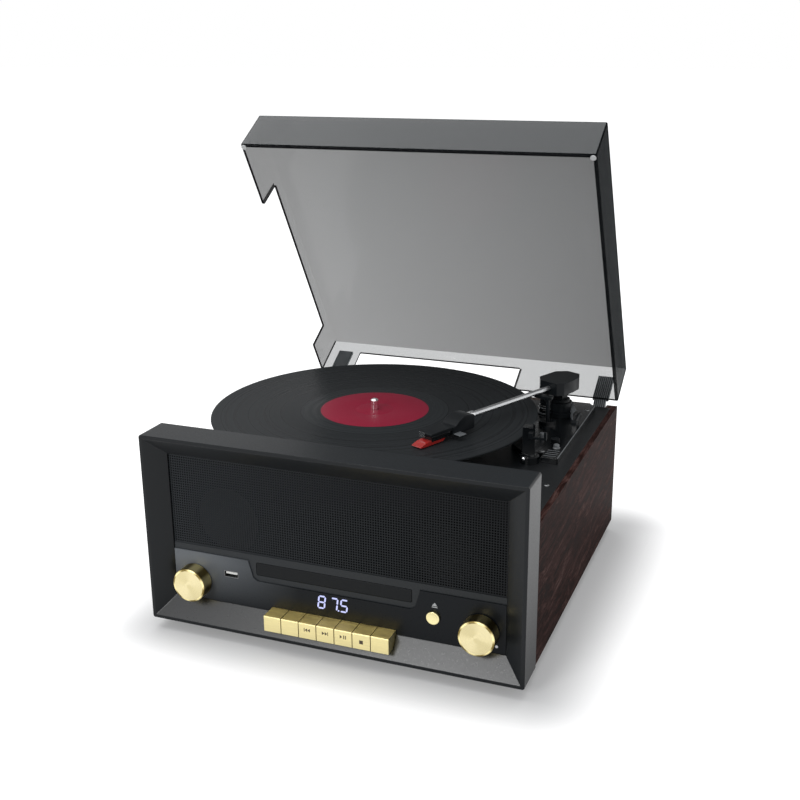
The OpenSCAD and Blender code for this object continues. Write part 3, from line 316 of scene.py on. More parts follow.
def veneer_finish():
    """Dark veneer: long noise along the depth for the grain, a slower one that
    bends it, short dark pores, and a satin lacquer."""
    mat, tree, surface = new_finish("veneer", (0.05, 0.02, 0.015), 0.42,
                                    Specular_IOR_Level=0.004)
    slow = speckle(tree, place_of(tree), 9.0, 2.0)
    bend = vector_maths(tree, "MULTIPLY_ADD", slow, (0.02, 0.05, 0.03),
                        place_of(tree, scale=(1, 0.16, 1)))
    grain = speckle(tree, bend, 170.0, 6.0, 0.66)
    colour = tint(tree, grain, [(0.34, (0.009, 0.0045, 0.004)), (0.46, (0.028, 0.013, 0.011)),
                                (0.56, (0.056, 0.028, 0.025)), (0.70, (0.120, 0.072, 0.064))])
    pores = speckle(tree, place_of(tree, scale=(1, 0.09, 1)), 1500.0, 2.0)
    shade = tint(tree, pores, [(0.36, (0.25, 0.2, 0.2)), (0.5, (1, 1, 1))])
    tree.links.new(mixed(tree, colour, shade, 0.75, "MULTIPLY"), surface.inputs["Base Color"])
    tree.links.new(span(tree, grain, 0.36, 0.52), surface.inputs["Roughness"])
    raise_by(tree, surface, pores, 0.25, 0.00008)
    return mat


def grooved_finish():
    """Pressed vinyl: the groove is a fine ring wave about the spindle, silenced
    on the lead-out ring, with slower bands where the music is louder."""
    mat, tree, surface = new_finish("grooved_vinyl", (0.016, 0.018, 0.020), 0.30,
                                    Specular_IOR_Level=0.014)
    radius = ring_distance(tree, SPINDLE)
    bands = noise_along(tree, radius, 260.0, 4.0)
    playing = span(tree, radius, 0.0, 1.0, 0.0672, 0.0684, "SMOOTHSTEP")
    music = tint(tree, bands, [(0.3, (0.017, 0.0185, 0.020)), (0.7, (0.025, 0.028, 0.030))])
    tree.links.new(mixed(tree, (0.026, 0.029, 0.031, 1), music, playing),
                   surface.inputs["Base Color"])
    tree.links.new(span(tree, bands, 0.24, 0.36), surface.inputs["Roughness"])
    groove = maths(tree, "MULTIPLY", wave_of(tree, radius, 1900.0), playing)
    raise_by(tree, surface, groove, 0.35, 0.00004)
    return mat


def spun_finish(name, colour, rough, at, across, waves, shade):
    """Spun metal: rings about the knob's axis, as noise along the distance from
    `at` over the axes `across`, and soft sectors, `waves` of them, of painted
    highlight where turned metal shines along its lines, between which the colour
    falls to `shade`, a painted shade."""
    mat, tree, surface = new_finish(name, colour, rough, 1.0, Anisotropic=0.75)
    uneven = noise_along(tree, ring_distance(tree, at, across), 2600.0)
    low = tuple(c * 0.94 for c in colour)
    rings = tint(tree, uneven, [(0.3, low), (0.7, colour)])
    turn_map = tree.nodes.new("ShaderNodeUVMap")
    turn_map.uv_map = "round"
    sectors = tint(tree, wave_of(tree, axis_of(tree, turn_map.outputs["UV"], "X"), waves),
                   [(0.15, shade), (0.85, (1.0, 1.0, 1.0))])
    tree.links.new(mixed(tree, rings, sectors, 1.0, "MULTIPLY"), surface.inputs["Base Color"])
    tree.links.new(span(tree, uneven, rough * 0.85, rough * 1.15), surface.inputs["Roughness"])
    raise_by(tree, surface, uneven, 0.12, 0.00003)
    turn = tree.nodes.new("ShaderNodeTangent")
    turn.direction_type = "UV_MAP"
    turn.uv_map = "round"
    tree.links.new(turn.outputs["Tangent"], surface.inputs["Tangent"])
    return mat


def smoke_finish(name, colour, alpha, level, deeper=0.0, rough=0.06):
    """Smoked clear plastic: each face lets part of the light straight through,
    where `deeper` is given less of it towards the right, a painted shade on
    that side, with faint polishing haze in the gloss."""
    mat, tree, surface = new_finish(name, colour, rough, Alpha=alpha, Specular_IOR_Level=level)
    here = place_of(tree)
    haze = speckle(tree, here, 30.0)
    tree.links.new(span(tree, haze, rough * 0.7, rough * 1.5), surface.inputs["Roughness"])
    if deeper:
        tree.links.new(span(tree, axis_of(tree, here, "X"), alpha, alpha + deeper, -0.14, 0.17),
                       surface.inputs["Alpha"])
    return mat


def ribbed_finish():
    """Dark plastic with fine upright ribs: a wave across X lifts it, and pales it on each rib as a
    painted highlight.
    """
    mat, tree, surface = new_finish("hinge_ribbed", (0.03, 0.033, 0.036), 0.4,
                                    Specular_IOR_Level=0.2)
    ribs = wave_of(tree, axis_of(tree, place_of(tree), "X"), 520.0)
    tree.links.new(tint(tree, ribs, [(0.2, (0.030, 0.033, 0.036)), (0.9, (0.230, 0.245, 0.255))]),
                   surface.inputs["Base Color"])
    raise_by(tree, surface, ribs, 0.5, 0.0003)
    return mat


def glow_finish(name, colour, strength):
    """A lit segment: emission slightly uneven from one end to the other."""
    mat, tree, surface = new_finish(name, (0.02, 0.02, 0.02), 0.4)
    level = speckle(tree, place_of(tree), 120.0)
    tree.links.new(tint(tree, level, [(0.2, tuple(c * 0.93 for c in colour)), (0.8, colour)]),
                   surface.inputs["Emission Color"])
    surface.inputs["Emission Strength"].default_value = strength
    return mat


# name, colour, roughness, grain per metre, its depth, cloudiness, gloss level
MOULDED = [
    ("frame_plastic", (0.0065, 0.0080, 0.0095), 0.32, 700, 0.02, 0.06, 0.20),
    # The next two are paler copies of frame_plastic: a painted tone on the frame's top, a painted
    # highlight on the slope below the controls
    ("frame_top", (0.012, 0.014, 0.016), 0.40, 700, 0.02, 0.06, 0.09),
    ("frame_sill", (0.0085, 0.0100, 0.0115), 0.30, 700, 0.0, 0.06, 0.6),
    ("drawer_plastic", (0.005, 0.006, 0.007), 0.38, 800, 0.12, 0.06, 0.14),
    ("deck_plastic", (0.004, 0.005, 0.006), 0.42, 700, 0.2, 0.08, 0.25),
    ("arm_plastic", (0.007, 0.0085, 0.010), 0.34, 900, 0.08, 0.08, 0.12),
    ("works_plastic", (0.004, 0.005, 0.006), 0.20, 500, 0.1, 0.08, 0.45),
    # Pale grey: on the works' edge strips and the pillar's rings it is a painted highlight
    ("works_edge", (0.140, 0.150, 0.158), 0.30, 700, 0.05, 0.08, 0.5),
    ("speaker_cloth", (0.002, 0.0022, 0.0026), 0.9, 2500, 0.4, 0.15, 0.1),
    ("paper_cone", (0.012, 0.012, 0.013), 0.7, 1200, 0.3, 0.15, 0.5),
    ("foot_rubber", (0.010, 0.010, 0.011), 0.75, 900, 0.3, 0.12, 0.5),
    ("loader_plastic", (0.055, 0.060, 0.065), 0.45, 700, 0.2, 0.08, 0.5),
    ("tray_plastic", (0.015, 0.016, 0.017), 0.40, 900, 0.25, 0.08, 0.5),
    ("board_green", (0.012, 0.085, 0.045), 0.35, 260, 0.1, 0.3, 0.5),
    ("fibre_board", (0.055, 0.034, 0.024), 0.7, 900, 0.4, 0.2, 0.5),
    ("label_paper", (0.260, 0.010, 0.034), 0.45, 1400, 0.12, 0.05, 0.1),
    ("socket_white", (0.78, 0.78, 0.76), 0.35, 600, 0.05, 0.03, 0.5),
    ("socket_red", (0.48, 0.02, 0.02), 0.35, 600, 0.05, 0.05, 0.5),
    ("pale_pad", (0.55, 0.56, 0.56), 0.5, 900, 0.2, 0.05, 0.5),
    ("grey_mark", (0.40, 0.41, 0.42), 0.5, 2000, 0.05, 0.04, 0.5),
    ("brown_mark", (0.055, 0.035, 0.015), 0.5, 2000, 0.05, 0.05, 0.5),
    ("belt_rubber", (0.006, 0.006, 0.006), 0.6, 900, 0.3, 0.1, 0.5),
    ("window", (0.004, 0.004, 0.006), 0.08, 300, 0.01, 0.05, 0.5),
]
# name, colour, roughness, stretch of the lines, lines per metre, their depth
BRUSHED = [
    ("screw_dark", (0.20, 0.205, 0.21), 0.36, (1, 1, 1), 900, 0.1),
    ("gold_keys", (0.78, 0.68, 0.35), 0.42, (0.05, 1, 1), 1600, 0.10),
    # Paler, more golden copy of the keys' gold for their tops: a painted reflection tone
    ("gold_tops", (1.0, 0.80, 0.32), 0.55, (0.05, 1, 1), 1600, 0.10),
    ("gold_polished", (0.78, 0.69, 0.37), 0.22, (1, 1, 1), 1500, 0.01),
    ("platter_metal", (0.52, 0.54, 0.56), 0.34, (1, 1, 1), 900, 0.2),
    ("spindle_chrome", (0.86, 0.87, 0.88), 0.12, (1, 1, 0.1), 900, 0.05),
    ("arm_silver", (0.58, 0.59, 0.60), 0.33, (1, 1, 1), 900, 0.05),
    ("tin", (0.74, 0.75, 0.76), 0.25, (1, 0.1, 1), 900, 0.1),
    ("screw_steel", (0.66, 0.67, 0.69), 0.25, (1, 1, 1), 900, 0.1),
    ("brass", (0.72, 0.55, 0.24), 0.25, (1, 1, 0.1), 900, 0.1),
]
# name, paler tone (painted highlight), deeper tone, roughness, grain's depth, gloss level, reaches
PAINTED_HIGHLIGHT_FADES = [
    ("fascia_plastic", (0.018, 0.021, 0.024), (0.010, 0.012, 0.0135), 0.42, 0.12, 0.25,
     (-0.15, 0.15)),
    ("control_gloss", (0.150, 0.162, 0.176), (0.0055, 0.0068, 0.0085), 0.30, 0.02, 0.12,
     (-0.115, -0.02), (0.028, 0.066)),
    ("grille_paint", (0.020, 0.023, 0.026), (0.0030, 0.0040, 0.0050), 0.42, 0.12, 0.15,
     (-0.15, 0.15)),
]
# name, colour, opacity, gloss level, more opacity at the right (painted shade), roughness
SMOKED = [
    ("smoke_outer", (0.026, 0.031, 0.034), 0.75, 0.20, 0.105, 0.14),
    ("smoke_inner", (0.10, 0.11, 0.11), 0.08, 0.22),
    ("smoke_edge", (0.004, 0.005, 0.006), 0.97, 0.0),
    ("smoke_side", (0.014, 0.018, 0.020), 0.83, 0.0),
    ("smoke_back", (0.045, 0.068, 0.074), 0.57, 0.3),
]

FINISH = {
    "hinge_ribbed": ribbed_finish(),
    "felt": moulded("felt", (0.008, 0.008, 0.008), 0.95, 2800, 0.7, 0.25, Sheen_Weight=0.3),
    # The red guard's faint emission is a painted highlight: it glows though it is no lamp
    "stylus_red": moulded("stylus_red", (0.30, 0.018, 0.016), 0.22, 500, 0.05, 0.2,
                          Subsurface_Weight=0.1, Emission_Color=(0.5, 0.02, 0.015, 1),
                          Emission_Strength=0.06),
    "veneer": veneer_finish(),
    "grooved_vinyl": grooved_finish(),
    "segment_glow": glow_finish("segment_glow", (0.56, 0.60, 1.0), 1.15),
    "lamp_glow": glow_finish("lamp_glow", (0.75, 0.72, 0.78), 0.55),
}
for name, *values, level in MOULDED:
    FINISH[name] = moulded(name, *values, Specular_IOR_Level=level)
for table, make in ((BRUSHED, brushed), (PAINTED_HIGHLIGHT_FADES, painted_highlight_fade), (SMOKED, smoke_finish)):
    for name, *values in table:
        FINISH[name] = make(name, *values)

# ------------------------------------------------------------ mesh helpers


def quads(nu, nv, wrap_u=False, wrap_v=False):
    """Index quads of an nu by nv grid of points, closed on itself where asked."""
    a, b = np.meshgrid(np.arange(nu if wrap_u else nu - 1),
                       np.arange(nv if wrap_v else nv - 1), indexing="ij")
    a2, b2 = (a + 1) % nu, (b + 1) % nv
    return np.stack([a * nv + b, a2 * nv + b, a2 * nv + b2, a * nv + b2], -1).reshape(-1, 4)


def ready(mesh, sharp_deg):
    """Merges doubled points, turns faces outwards, and smooths all but sharp edges."""
    b = bmesh.new()
    b.from_mesh(mesh)
    bmesh.ops.remove_doubles(b, verts=b.verts, dist=2e-7)
    bmesh.ops.recalc_face_normals(b, faces=b.faces)
    b.to_mesh(mesh)
    b.free()
    mesh.polygons.foreach_set("use_smooth", [True] * len(mesh.polygons))
    mesh.set_sharp_from_angle(angle=math.radians(sharp_deg))
    mesh.update()


def dress(name, mesh, finishes, body, stands_for=()):
    """Makes the object at the origin, gives it its finishes, and lets it ride."""
    ob = bpy.data.objects.new(name, mesh)
    bpy.context.scene.collection.objects.link(ob)
    for f in ([finishes] if isinstance(finishes, str) else finishes):
        mesh.materials.append(FINISH[f])
    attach(ob, body)
    if stands_for:
        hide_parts(*stands_for)
    return ob


def piece(name, points, faces, finishes, body, slot=None, stands_for=(), sharp_deg=35.0):
    """A new piece from points in cabinet millimetres and index faces."""
    mesh = bpy.data.meshes.new(name)
    mesh.from_pydata(put(points).tolist(), [], np.asarray(faces).tolist()
                     if isinstance(faces, np.ndarray) else faces)
    ready(mesh, sharp_deg)
    return dress(name, mesh, finishes, body, stands_for)


def turned(profile, centre, axis="z", steps=96):
    """Surface of revolution: profile point (r, h) at angle t goes to
    centre + r (cos t, sin t) across the axis + h along it."""
    r, h = np.asarray(profile, float).T
    t = np.linspace(0, 2 * np.pi, steps, endpoint=False)[:, None]
    c, s, along = r * np.cos(t), r * np.sin(t), h + 0 * t
    order = {"z": (c, s, along), "y": (s, along, c), "x": (along, c, s)}[axis]
    points = np.stack(order, -1).reshape(-1, 3) + np.asarray(centre, float)
    return points, quads(steps, len(r), wrap_u=True)


def bar(corner_a, corner_b, round_off):
    """Box with chamfered edges: each corner is three points, each drawn in by
    round_off along the two other axes, but never past the box's middle."""
    a, b = np.asarray(corner_a, float), np.asarray(corner_b, float)
    mid, half = (a + b) / 2, (b - a) / 2
    r = min(round_off, *(half * 0.9))
    points = []
    for sx in (-1, 1):
        for sy in (-1, 1):
            for sz in (-1, 1):
                s = np.array([sx, sy, sz])
                for k in range(3):
                    d = half - r
                    d[k] = half[k]
                    points.append(mid + s * d)
    return np.array(points), hull_faces(np.array(points))


def hull_faces(points):
    """Faces of the convex hull of a few points."""
    b = bmesh.new()
    verts = [b.verts.new(p) for p in points]
    b.verts.index_update()
    bmesh.ops.convex_hull(b, input=verts)
    bmesh.ops.dissolve_limit(b, angle_limit=0.01, verts=b.verts, edges=b.edges)
    index = {v: i for i, v in enumerate(verts) if v.is_valid}
    faces = [[index[v] for v in f.verts] for f in b.faces]
    b.free()
    return faces


def join(parts):
    """Several (points, faces) sets as one."""
    points, faces, base = [], [], 0
    for p, f in parts:
        points.append(np.asarray(p, float))
        faces += [[int(i) + base for i in face] for face in f]
        base += len(p)
    return np.concatenate(points), faces


def slab(outline, y0, y1):
    """Flat outline in X and Z, given a thickness from depth y0 to depth y1."""
    o = np.asarray(outline, float)
    n = len(o)
    front = np.stack([o[:, 0], np.full(n, y0), o[:, 1]], 1)
    rear = np.stack([o[:, 0], np.full(n, y1), o[:, 1]], 1)
    i = np.arange(n)
    j = (i + 1) % n
    sides = np.stack([i, j, j + n, i + n], 1).tolist()
    caps = [list(range(n)), list(range(2 * n - 1, n - 1, -1))]
    return np.concatenate([front, rear]), caps + sides


SHARP = 0.5


def weigh_edges(mesh, inner, bare):
    """Bevel weight 1 on edges whose faces turn by more than SHARP radians and are
    both not numbered `inner`, unless their middle is one that bare() names."""
    b = bmesh.new()
    b.from_mesh(mesh)
    weight = b.edges.layers.float.new("bevel_weight_edge")
    for e in b.edges:
        outer = all(f.material_index != inner for f in e.link_faces)
        middle = cabinet_mm((e.verts[0].co + e.verts[1].co) / 2)
        e[weight] = float(outer and len(e.link_faces) == 2 and e.calc_face_angle(0) > SHARP
                          and not bare(middle))
    b.to_mesh(mesh)
    b.free()


def softened(node, width, finishes, pick=None, edge_finish=None, inner=None, bare=None):
    """The CAD node's own shape with its edges rounded: a merged copy, flat faces
    joined, and a bevel `width` millimetres wide. pick(centre, normal) gives the
    finish's number for each face, from its middle in cabinet millimetres. Edges
    that touch a face numbered `inner`, or that bare(middle) names, stay sharp,
    and the bevel's faces take the finish numbered `edge_finish`."""
    b = bmesh.new()
    b.from_mesh(nodes[node].data)
    bmesh.ops.remove_doubles(b, verts=b.verts, dist=1e-6)
    bmesh.ops.dissolve_limit(b, angle_limit=math.radians(0.6), verts=b.verts, edges=b.edges,
                             delimit={"NORMAL"})
    mesh = bpy.data.meshes.new(node + "_shape")
    b.to_mesh(mesh)
    b.free()
    mesh.polygons.foreach_set("use_smooth", [True] * len(mesh.polygons))
    mesh.set_sharp_from_angle(angle=math.radians(35))
    if pick:
        for p in mesh.polygons:
            p.material_index = pick(cabinet_mm(p.center), np.array(p.normal))
    ob = dress(node + "_dressed", mesh, finishes, bodies[node], stands_for=(node,))
    m = ob.modifiers.new("edges", "BEVEL")
    m.width, m.segments, m.limit_method = width * 0.001, 2, "ANGLE"
    m.angle_limit = math.radians(32)
    if inner is not None:
        m.limit_method = "WEIGHT"
        weigh_edges(mesh, inner, bare)
    m.use_clamp_overlap = True
    m.harden_normals = True
    if edge_finish is not None:
        m.material = edge_finish


def paint(finish, *names):
    """Gives CAD nodes that keep their own shape a finish."""
    for n in names:
        slots = nodes[n].data.materials
        slots.clear()
        slots.append(FINISH[finish])


# ----------------------------------------------------- finishes of CAD nodes

paint("veneer", "side_panel_left", "side_panel_right")
paint("fibre_board", "bottom_panel", "back_panel")
paint("speaker_cloth", "speaker_baffle")
paint("paper_cone", "speaker_left", "speaker_right")
paint("foot_rubber", "feet")
paint("board_green", "control_board", "main_board")
paint("loader_plastic", "cd_loader", "laser_sled")
paint("tray_plastic", "cd_tray", "cd_hub")
paint("screw_steel", "back_screws", "motor")
paint("brass", "motor_pulley")
paint("belt_rubber", "drive_belt")
paint("felt", "slip_mat")
paint("tin", "audio_sockets")
paint("works_plastic", "jack_plate", "power_socket")
paint("arm_plastic", "arm_base", "arm_yoke", "hinge_bases")
paint("window", "display_module")
# The plate's and the fascia's finishes are paler at the left: a painted highlight
paint("control_gloss", "control_plate")
paint("fascia_plastic", "fascia_panel")
paint("platter_metal", "platter")
paint("spindle_chrome", "spindle")


def frame_face(centre, normal):
    """1 for the frame's top, which takes a paler, less glossy copy of the frame plastic as a
    painted tone for how it takes the light; 2 for the slope below the controls, which takes a
    paler, glossier copy as a painted highlight; 0 elsewhere.
    """
    if normal[2] > 0.9 and centre[2] > 170:
        return 1
    return 2 if normal[2] > 0.3 and normal[1] < -0.3 and centre[2] < 40 else 0


softened("bezel", 0.5, ["frame_plastic", "frame_top", "frame_sill"], pick=frame_face)
softened("deck", 0.4, "deck_plastic")
softened("cd_drawer_front", 0.4, "drawer_plastic")
softened("pivot_block", 0.8, "arm_plastic")


def lift_face(centre, normal):
    """1 for the finger lift, which stands out beside the headshell."""
    c, s = math.cos(ARM_TURN), math.sin(ARM_TURN)
    rel = centre - PIVOT
    return int(abs(c * rel[0] + s * rel[1]) > HALF_HEAD)


softened("headshell", 0.7, ["arm_plastic", "works_edge"], pick=lift_face)
softened("cartridge", 0.5, "works_plastic")
softened("stylus", 0.3, "stylus_red")
softened("arm_rest", 0.5, "works_plastic")
softened("arm_clip", 0.4, "arm_plastic")
softened("mechanism_plate", 0.3, "works_plastic")
softened("cue_lever", 0.4, "arm_plastic")
softened("cue_lift", 0.4, "arm_plastic")
softened("speed_switch", 0.3, "arm_plastic")
softened("tonearm_tube", 0.1, "arm_silver")


def key_face(centre, normal):
    """1 for a key's top, which takes a paler, more golden copy of the keys' gold as a painted
    reflection tone; 0 elsewhere.
    """
    return int(normal[2] > 0.9)


for key in ("standby", "source", "previous", "next", "play", "stop", "record"):
    softened(key + "_key", 0.25, ["gold_keys", "gold_tops"], pick=key_face)


def usb_part(centre, normal):
    """1 for the faces of the contact tongue, 0 for the metal shell."""
    x, y, z = centre
    return int(abs(x - USB_X) < 5.6 and abs(z - USB_Z) < 1.1 and y > PLATE_Y + 0.5)


softened("usb_socket", 0.1, ["screw_dark", "socket_white"], pick=usb_part)

# ---------------------------------------------------------------- grille


def perforated_sheet(x0, x1, z0, z1, y0, y1, pitch, hole):
    """Sheet with square holes: the points are a grid whose lines lie at the
    edges of every hole, and a cell is left open where both its column and its
    row are a hole's. Walls join front and back round each hole."""
    nx, nz = int(round((x1 - x0 - 1) / pitch)), int(round((z1 - z0 - 1) / pitch))
    margin_x, margin_z = (x1 - x0 - nx * pitch) / 2, (z1 - z0 - nz * pitch) / 2
    half = (pitch - hole) / 2

    def lines(start, end, margin, n):
        at = start + margin + pitch * np.arange(n)
        edges = np.stack([at + half, at + half + hole], 1).ravel()
        return np.concatenate([[start], edges, [end]])

    xs, zs = lines(x0, x1, margin_x, nx), lines(z0, z1, margin_z, nz)
    gx, gz = np.meshgrid(xs, zs, indexing="ij")
    count = gx.size
    points = np.concatenate([np.stack([gx, np.full_like(gx, y), gz], -1).reshape(-1, 3)
                             for y in (y0, y1)])
    cell = quads(len(xs), len(zs)).reshape(len(xs) - 1, len(zs) - 1, 4)
    open_cell = (np.arange(len(xs) - 1)[:, None] % 2 == 1) & (np.arange(len(zs) - 1)[None] % 2 == 1)
    solid, holes = cell[~open_cell], cell[open_cell]
    walls = [np.stack([holes[:, k], holes[:, (k + 1) % 4], holes[:, (k + 1) % 4] + count,
                       holes[:, k] + count], 1) for k in range(4)]
    sides = (cell[0, :, [0, 3]].T, cell[-1, :, [1, 2]].T, cell[:, 0, [0, 1]], cell[:, -1, [3, 2]])
    rim = [np.stack([a[:, 0], a[:, 1], a[:, 1] + count, a[:, 0] + count], 1) for a in sides]
    return points, np.concatenate([solid, solid[:, ::-1] + count, *walls, *rim])


MESH_PITCH, MESH_HOLE = 2.15, 1.35
(gx0, gy0, gz0), (gx1, gy1, gz1) = (cabinet_mm(p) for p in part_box("speaker_grille"))
# The grille's paint is paler at the left: a painted highlight
piece("grille_mesh",
      *perforated_sheet(gx0, gx1, gz0, gz1, gy0, gy1, MESH_PITCH, MESH_HOLE),
      "grille_paint", "cabinet", stands_for=("speaker_grille",), sharp_deg=20)

# ---------------------------------------------------------------- knobs


FACE_R = 13.5
KNOB = [(0, 0.25), (4, 0.22), (9, 0.12), (13.2, 0.0), (13.9, 0.0), (14.35, 0.12), (14.75, 0.5),
        (14.9, 0.95), (14.9, 2.2), (14.82, 2.6), (14.82, 10.8), (14.9, 11.2), (14.9, 12.3),
        (14.6, 12.8), (13.9, 13.0), (3.0, 13.0), (3.0, 25.0), (0, 25.0)]


def make_knob(name, node, x):
    """Turned knob about an axis along Y, from the radii and depths in KNOB: a
    dished face, a bright chamfer, a slightly waisted barrel, a thin skirt and the
    shaft. The face finish ends at FACE_R. The map's U is the angle about the
    axis in turns, unwrapped on the faces that cross the half turn."""
    axis = np.array([x, float(cabinet_mm(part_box(node)[0])[1]), KNOB_Z])
    points, faces = turned(KNOB, axis, "y", 128)
    mesh = bpy.data.meshes.new(name)
    mesh.from_pydata(put(points).tolist(), [], faces.tolist())
    ready(mesh, 30)
    rel = cabinet_mm([v.co for v in mesh.vertices]) - axis
    loops = np.array([l.vertex_index for l in mesh.loops])
    angle = np.arctan2(rel[:, 0], rel[:, 2])[loops] / (2 * np.pi)
    radius = np.hypot(rel[:, 0], rel[:, 2])[loops]
    for p in mesh.polygons:
        own = slice(p.loop_start, p.loop_start + p.loop_total)
        if np.ptp(angle[own]) > 0.5:
            angle[own] = np.where(angle[own] < 0, angle[own] + 1, angle[own])
    uv = mesh.uv_layers.new(name="round")
    uv.data.foreach_set("uv", np.stack([angle, radius / 20], 1).ravel())
    centre = cabinet_mm([p.center for p in mesh.polygons]) - axis
    face = (np.hypot(centre[:, 0], centre[:, 2]) < FACE_R) & (centre[:, 1] < 1)
    mesh.polygons.foreach_set("material_index", np.where(face, 0, 1).astype(int))
    on_axis = (x, 0.001, KNOB_Z)
    # The face's pale sectors and the barrel's bright bands are painted highlight, their dark gaps
    # painted shade, and the barrel's paler gold a painted lit tone
    FINISH[name + "_face"] = spun_finish(name + "_face", (0.75, 0.66, 0.39), 0.30,
                                         on_axis, (1, 0, 1), 2, (0.86, 0.85, 0.80))
    FINISH[name + "_barrel"] = spun_finish(name + "_barrel", (1.0, 0.86, 0.44), 0.40,
                                           on_axis, (0, 1, 0), 6, (0.22, 0.19, 0.12))
    dress(name, mesh, [name + "_face", name + "_barrel"], bodies[node], (node,))


make_knob("tuning_knob_turned", "tuning_knob", -KNOB_X)
make_knob("volume_knob_turned", "volume_knob", KNOB_X)

# The button's shaft ends 20 mm behind the front rim
eject_y = float(cabinet_mm(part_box("eject_button")[0])[1])
piece("eject_button_turned",
      *turned([(0, 0.35), (3.2, 0.3), (4.6, 0.05), (5.0, 0.0), (5.35, 0.18), (5.5, 0.55),
               (5.5, 20.0 - eject_y), (0, 20.0 - eject_y)], (EJECT_X, eject_y, EJECT_Z), "y", 64),
      "gold_polished", "eject", "gold", ("eject_button",))

# ------------------------------------------------------------ printed marks

# Display figures: height of the foot, width, height, stroke, lean
FIGURE_Z, FIGURE = 41.4, (5.6, 10.6, 1.35, 0.13)
# How far the figures and the printing stand out of the plate, and reach into it
GLOW_OUT, GLOW_IN = 0.12, 0.3
PRINT_OUT, PRINT_IN = 0.04, 0.2


def seven_segments(digit, x, z, w, h, t, slant):
    """Segments of a digit as six-sided bars: each bar's line runs between two
    corners of the figure, drawn in at both ends, and x leans by slant times z."""
    lit = {"8": "abcdefg", "7": "abc", "5": "acdfg"}[digit]
    ends = {"a": ((0, h), (w, h)), "b": ((w, h), (w, h / 2)), "c": ((w, h / 2), (w, 0)),
            "d": ((0, 0), (w, 0)), "e": ((0, h / 2), (0, 0)), "f": ((0, h), (0, h / 2)),
            "g": ((0, h / 2), (w, h / 2))}
    out = []
    for s in lit:
        p, q = (np.array(v, float) for v in ends[s])
        d = (q - p) / np.linalg.norm(q - p)
        n = np.array([-d[1], d[0]]) * t / 2
        a, b = p + d * 0.25, q - d * 0.25
        a2, b2 = a + d * t / 2, b - d * t / 2
        line = np.array([a, a2 + n, b2 + n, b, b2 - n, a2 - n])
        line[:, 0] += slant * line[:, 1]
        out.append(slab(line + [x, z], PLATE_Y - GLOW_OUT, PLATE_Y + GLOW_IN))
    return out


digit_parts = []
for figure, at in (("8", -12.9), ("7", -1.9), ("5", 6.9)):
    digit_parts += seven_segments(figure, at, FIGURE_Z, *FIGURE)
dot = np.array([[4.7, 41.0], [6.0, 41.0], [6.2, 42.3], [4.9, 42.3]])
digit_parts.append(slab(dot, PLATE_Y - GLOW_OUT, PLATE_Y + GLOW_IN))
piece("display_figures", *join(digit_parts), "segment_glow", "cabinet", sharp_deg=20)


eject_shapes = ([(85.6, 61.3), (90.2, 61.3), (87.9, 64.2)],
                [(85.6, 59.9), (90.2, 59.9), (90.2, 60.7), (85.6, 60.7)])
piece("eject_mark",
      *join([slab(o, PLATE_Y - PRINT_OUT, PLATE_Y + PRINT_IN) for o in eject_shapes]),
      "grey_mark", "cabinet", sharp_deg=20)

lens = [(0, -0.65), (0.6, -0.55), (1.1, -0.3), (1.35, 0.1), (1.35, 3.0), (0, 3.0)]
piece("lamp_lens", *turned(lens, (138.5, PLATE_Y, 36.0), "y", 32), "lamp_glow", "cabinet")


def key_mark(name, body, index, shapes):
    """Printed symbol on a key's front: flat outlines about the key's middle,
    enlarged by MARK_SCALE. The keys are counted from 0 at the left."""
    at = [(index - 3) * KEY_PITCH, MARK_Z]
    slabs = [slab(np.asarray(o, float) * MARK_SCALE + at, KEY_Y - 0.015, KEY_Y + 0.2)
             for o in shapes]
    piece(name, *join(slabs), "brown_mark", body, sharp_deg=20)


def arrow(x, way, h=1.25, w=1.7):
    """Triangle pointing to the right (way 1) or to the left (way -1)."""
    return [(x, -h), (x + way * w, 0), (x, h)]


def upright(x0, x1, z0=-1.25, z1=1.25):
    """Outline of an upright bar."""
    return [(x0, z0), (x1, z0), (x1, z1), (x0, z1)]


key_mark("previous_mark", "previous_body", 2,
         [arrow(0.1, -1), arrow(2.0, -1), upright(-2.2, -1.7)])
key_mark("next_mark", "next_body", 3, [arrow(-2.0, 1), arrow(-0.1, 1), upright(1.7, 2.2)])
key_mark("play_mark", "play_body", 4, [arrow(-2.1, 1), upright(0.3, 0.9), upright(1.5, 2.1)])
key_mark("stop_mark", "stop_body", 5, [upright(-1.25, 1.25, -2.4, 0.1)])

# ------------------------------------------------------------- record deck


def record_profile():
    """Radius and height of the record: thick centre, thin playing area, a
    raised bead at the rim."""
    top = [(HOLE_R, DISC_TOP), (50.5, DISC_TOP), (51.2, 153.8), (67.0, 153.8), (68.2, 153.72),
           (146.5, 153.72), (148.0, 153.88), (149.6, DISC_TOP), (150.3, 153.6), (150.5, 153.0)]
    low = [(150.3, 152.4), (149.6, DISC_LOW), (HOLE_R, DISC_LOW)]
    return top + low + top[:1]


piece("record_disc", *turned(record_profile(), SPINDLE, "z", 256), "grooved_vinyl",
      "platter_set", "vinyl", ("vinyl_record",), sharp_deg=40)

PAPER_TOP = DISC_TOP + 0.15
label = [(HOLE_R, DISC_TOP), (HOLE_R, PAPER_TOP), (17.0, PAPER_TOP), (17.3, 154.0), (17.8, 154.0),
         (18.1, PAPER_TOP), (49.4, PAPER_TOP), (50.0, 153.98), (50.0, DISC_TOP),
         (HOLE_R, DISC_TOP)]
piece("record_paper", *turned(label, SPINDLE, "z", 192), "label_paper", "platter_set",
      "label_paper", ("record_label",), sharp_deg=40)

# ---------------------------------------------------------------- tonearm


